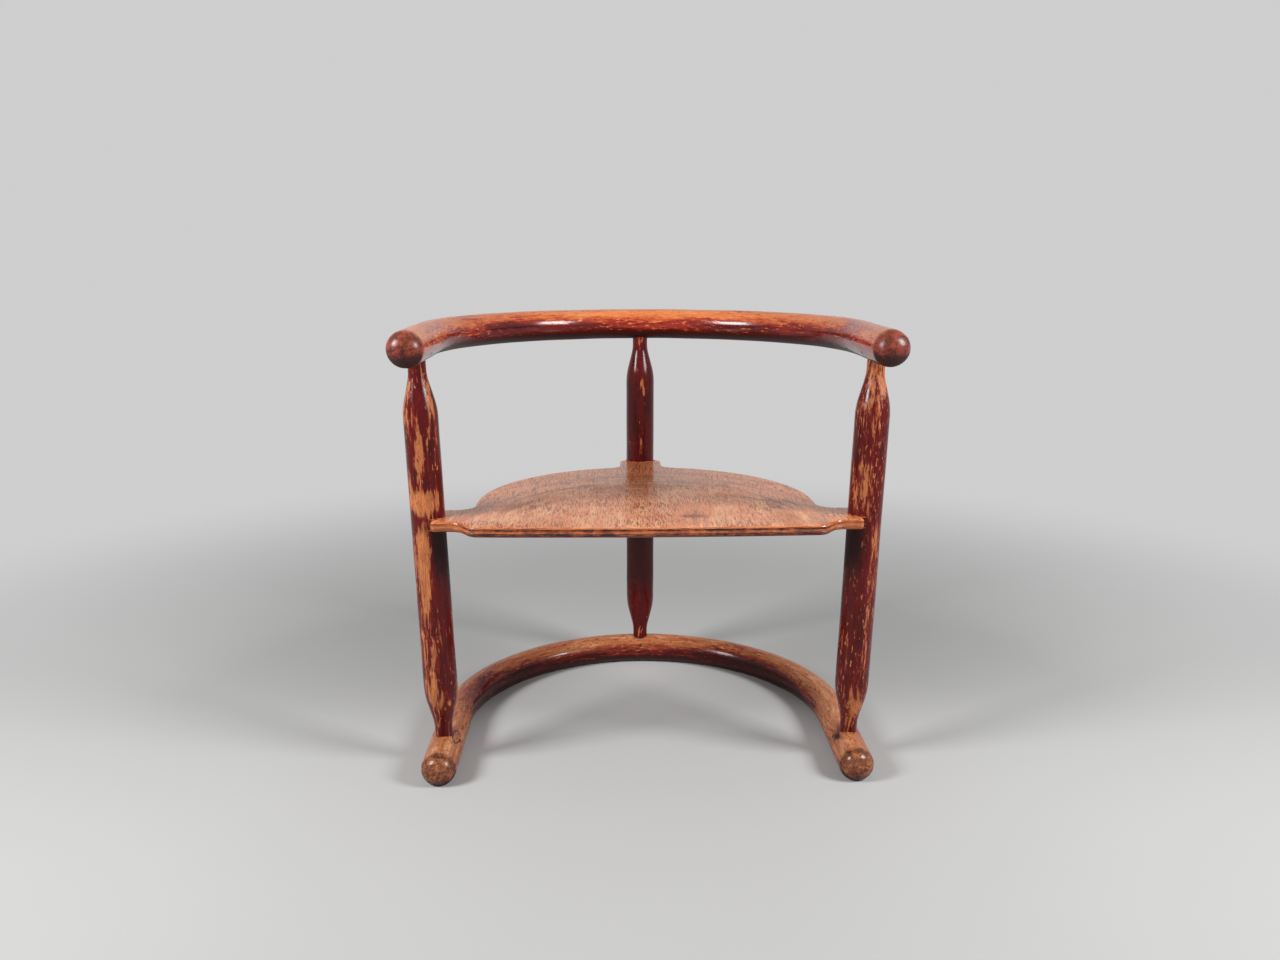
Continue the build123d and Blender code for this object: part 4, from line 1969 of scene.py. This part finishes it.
@dataclass
class Studio:
    """Pale floor, two soft boxes and the camera."""

    target: Vector
    camera_place: Vector = Vector((-0.0316, -1.0420, 0.4774))
    camera_pitch: float = 12.279
    camera_yaw: float = 1.515
    focal_pixels: float = 1061.85
    image_width: float = 1280.0
    sensor_width: float = 36.0
    floor_half: float = 9.0
    floor_squares: int = 8
    floor_fade: Step = Step(0.35, 1.25)
    floor_tone: Blotch = Blotch((0.30, 0.30, 0.30), 3.0, 0.5, 1.0)
    floor_tone_step: Step = Step(0.3, 0.7, 0.0, 0.06)
    floor_depth: float = 0.01 * MM
    floor_roughness: float = 0.85
    box_distance: float = 1.35
    box_elevation: float = 30.0
    box_azimuth: float = 60.0
    box_size: float = 0.42
    box_power: float = 16.5
    ambient: float = 0.18

    def floor(self) -> None:
        """Lays a wide pale floor that fades into the backdrop."""
        shape = bmesh.new()
        squares = self.floor_squares
        bmesh.ops.create_grid(shape, x_segments=squares, y_segments=squares, size=self.floor_half)
        piece = finish_mesh("studio_floor", shape)
        pen = NodeSketch("pale_floor")
        place = pen.place()
        tone = pen.noise(place, self.floor_tone)
        grey = pen.blend(pen.step(tone, self.floor_tone_step), Tint.FLOOR, Tint.BACKDROP)
        pen.surface(grey, self.floor_roughness, pen.relief(((tone, self.floor_depth),)))
        far = pen.step(pen.length(place), self.floor_fade)
        glow = pen.add("ShaderNodeEmission")
        pen.feed(glow.inputs["Color"], Tint.BACKDROP)
        mix = pen.add("ShaderNodeMixShader")
        pen.feed(mix.inputs[0], pen.times(far, self.seen_rays(pen.tree)))
        pen.feed(mix.inputs[1], pen.shader.outputs[0])
        pen.feed(mix.inputs[2], glow.outputs[0])
        pen.feed(pen.tree.nodes["Material Output"].inputs["Surface"], mix.outputs[0])
        piece.data.materials.append(pen.material)

    @staticmethod
    def seen_rays(tree: bpy.types.NodeTree) -> Socket:
        """One for rays from the camera and for reflected and refracted ones, and zero for soft light.

        Args:
            tree: Node tree that the nodes are added to.

        Returns:
            The switch.
        """
        rays = tree.nodes.new("ShaderNodeLightPath")
        total = rays.outputs["Is Camera Ray"]
        for name in ("Is Glossy Ray", "Is Transmission Ray"):
            node = tree.nodes.new("ShaderNodeMath")
            node.operation = "MAXIMUM"
            tree.links.new(total, node.inputs[0])
            tree.links.new(rays.outputs[name], node.inputs[1])
            total = node.outputs[0]
        return total

    def backdrop(self) -> None:
        """Makes the world a plain pale grey that lights the chair softly."""
        world = bpy.data.worlds.new("plain_backdrop")
        bpy.context.scene.world = world
        world.use_nodes = True
        tree = world.node_tree
        shade = tree.nodes["Background"]
        strength = tree.nodes.new("ShaderNodeMapRange")
        tree.links.new(self.seen_rays(tree), strength.inputs[0])
        strength.inputs["To Min"].default_value = self.ambient / Tint.BACKDROP.value[0]
        strength.inputs["To Max"].default_value = 1.0
        tree.links.new(strength.outputs[0], shade.inputs["Strength"])
        shade.inputs["Color"].default_value = (*Tint.BACKDROP.value, 1.0)

    def soft_box(self, name: str, azimuth: float, power: float) -> None:
        """Stands a soft box beside the camera.

        Args:
            name: Name of the lamp.
            azimuth: Angle from the front towards the right, in degrees.
            power: Power of the lamp in watts.
        """
        lamp = bpy.data.lights.new(name, "AREA")
        lamp.shape = "SQUARE"
        lamp.size = self.box_size
        lamp.energy = power
        turn = math.radians(azimuth)
        rise = math.radians(self.box_elevation)
        way = Vector((math.sin(turn) * math.cos(rise), -math.cos(turn) * math.cos(rise), math.sin(rise)))
        stand = bpy.data.objects.new(name, lamp)
        stand.location = self.target + way * self.box_distance
        stand.rotation_euler = way.to_track_quat("Z", "Y").to_euler()
        bpy.context.scene.collection.objects.link(stand)

    def camera(self) -> None:
        """Sets the camera at the photograph's viewing angle."""
        lens = bpy.data.cameras.new("view")
        lens.sensor_width = self.sensor_width
        lens.lens = self.focal_pixels / self.image_width * self.sensor_width
        view = bpy.data.objects.new("view", lens)
        view.location = self.camera_place
        view.rotation_euler = (math.radians(90.0 - self.camera_pitch), 0.0, math.radians(-self.camera_yaw))
        bpy.context.scene.collection.objects.link(view)
        bpy.context.scene.camera = view

    def build(self) -> None:
        """Sets up the floor, the light and the camera."""
        self.floor()
        self.backdrop()
        self.soft_box("soft_box_left", -self.box_azimuth, self.box_power)
        self.soft_box("soft_box_right", self.box_azimuth, self.box_power)
        self.camera()
        bpy.context.scene.view_settings.view_transform = "Standard"


def main() -> None:
    """Builds the chair's pieces and the studio."""
    logging.basicConfig(level=logging.INFO, format="%(name)s: %(message)s")
    posts = BentwoodFrame(Joinery()).build()
    PlySeat(posts).build()
    LockingPins().build()
    Studio(target=(CAD_BOX[0] + CAD_BOX[1]) / 2).build()


if __name__ == "__main__":
    main()
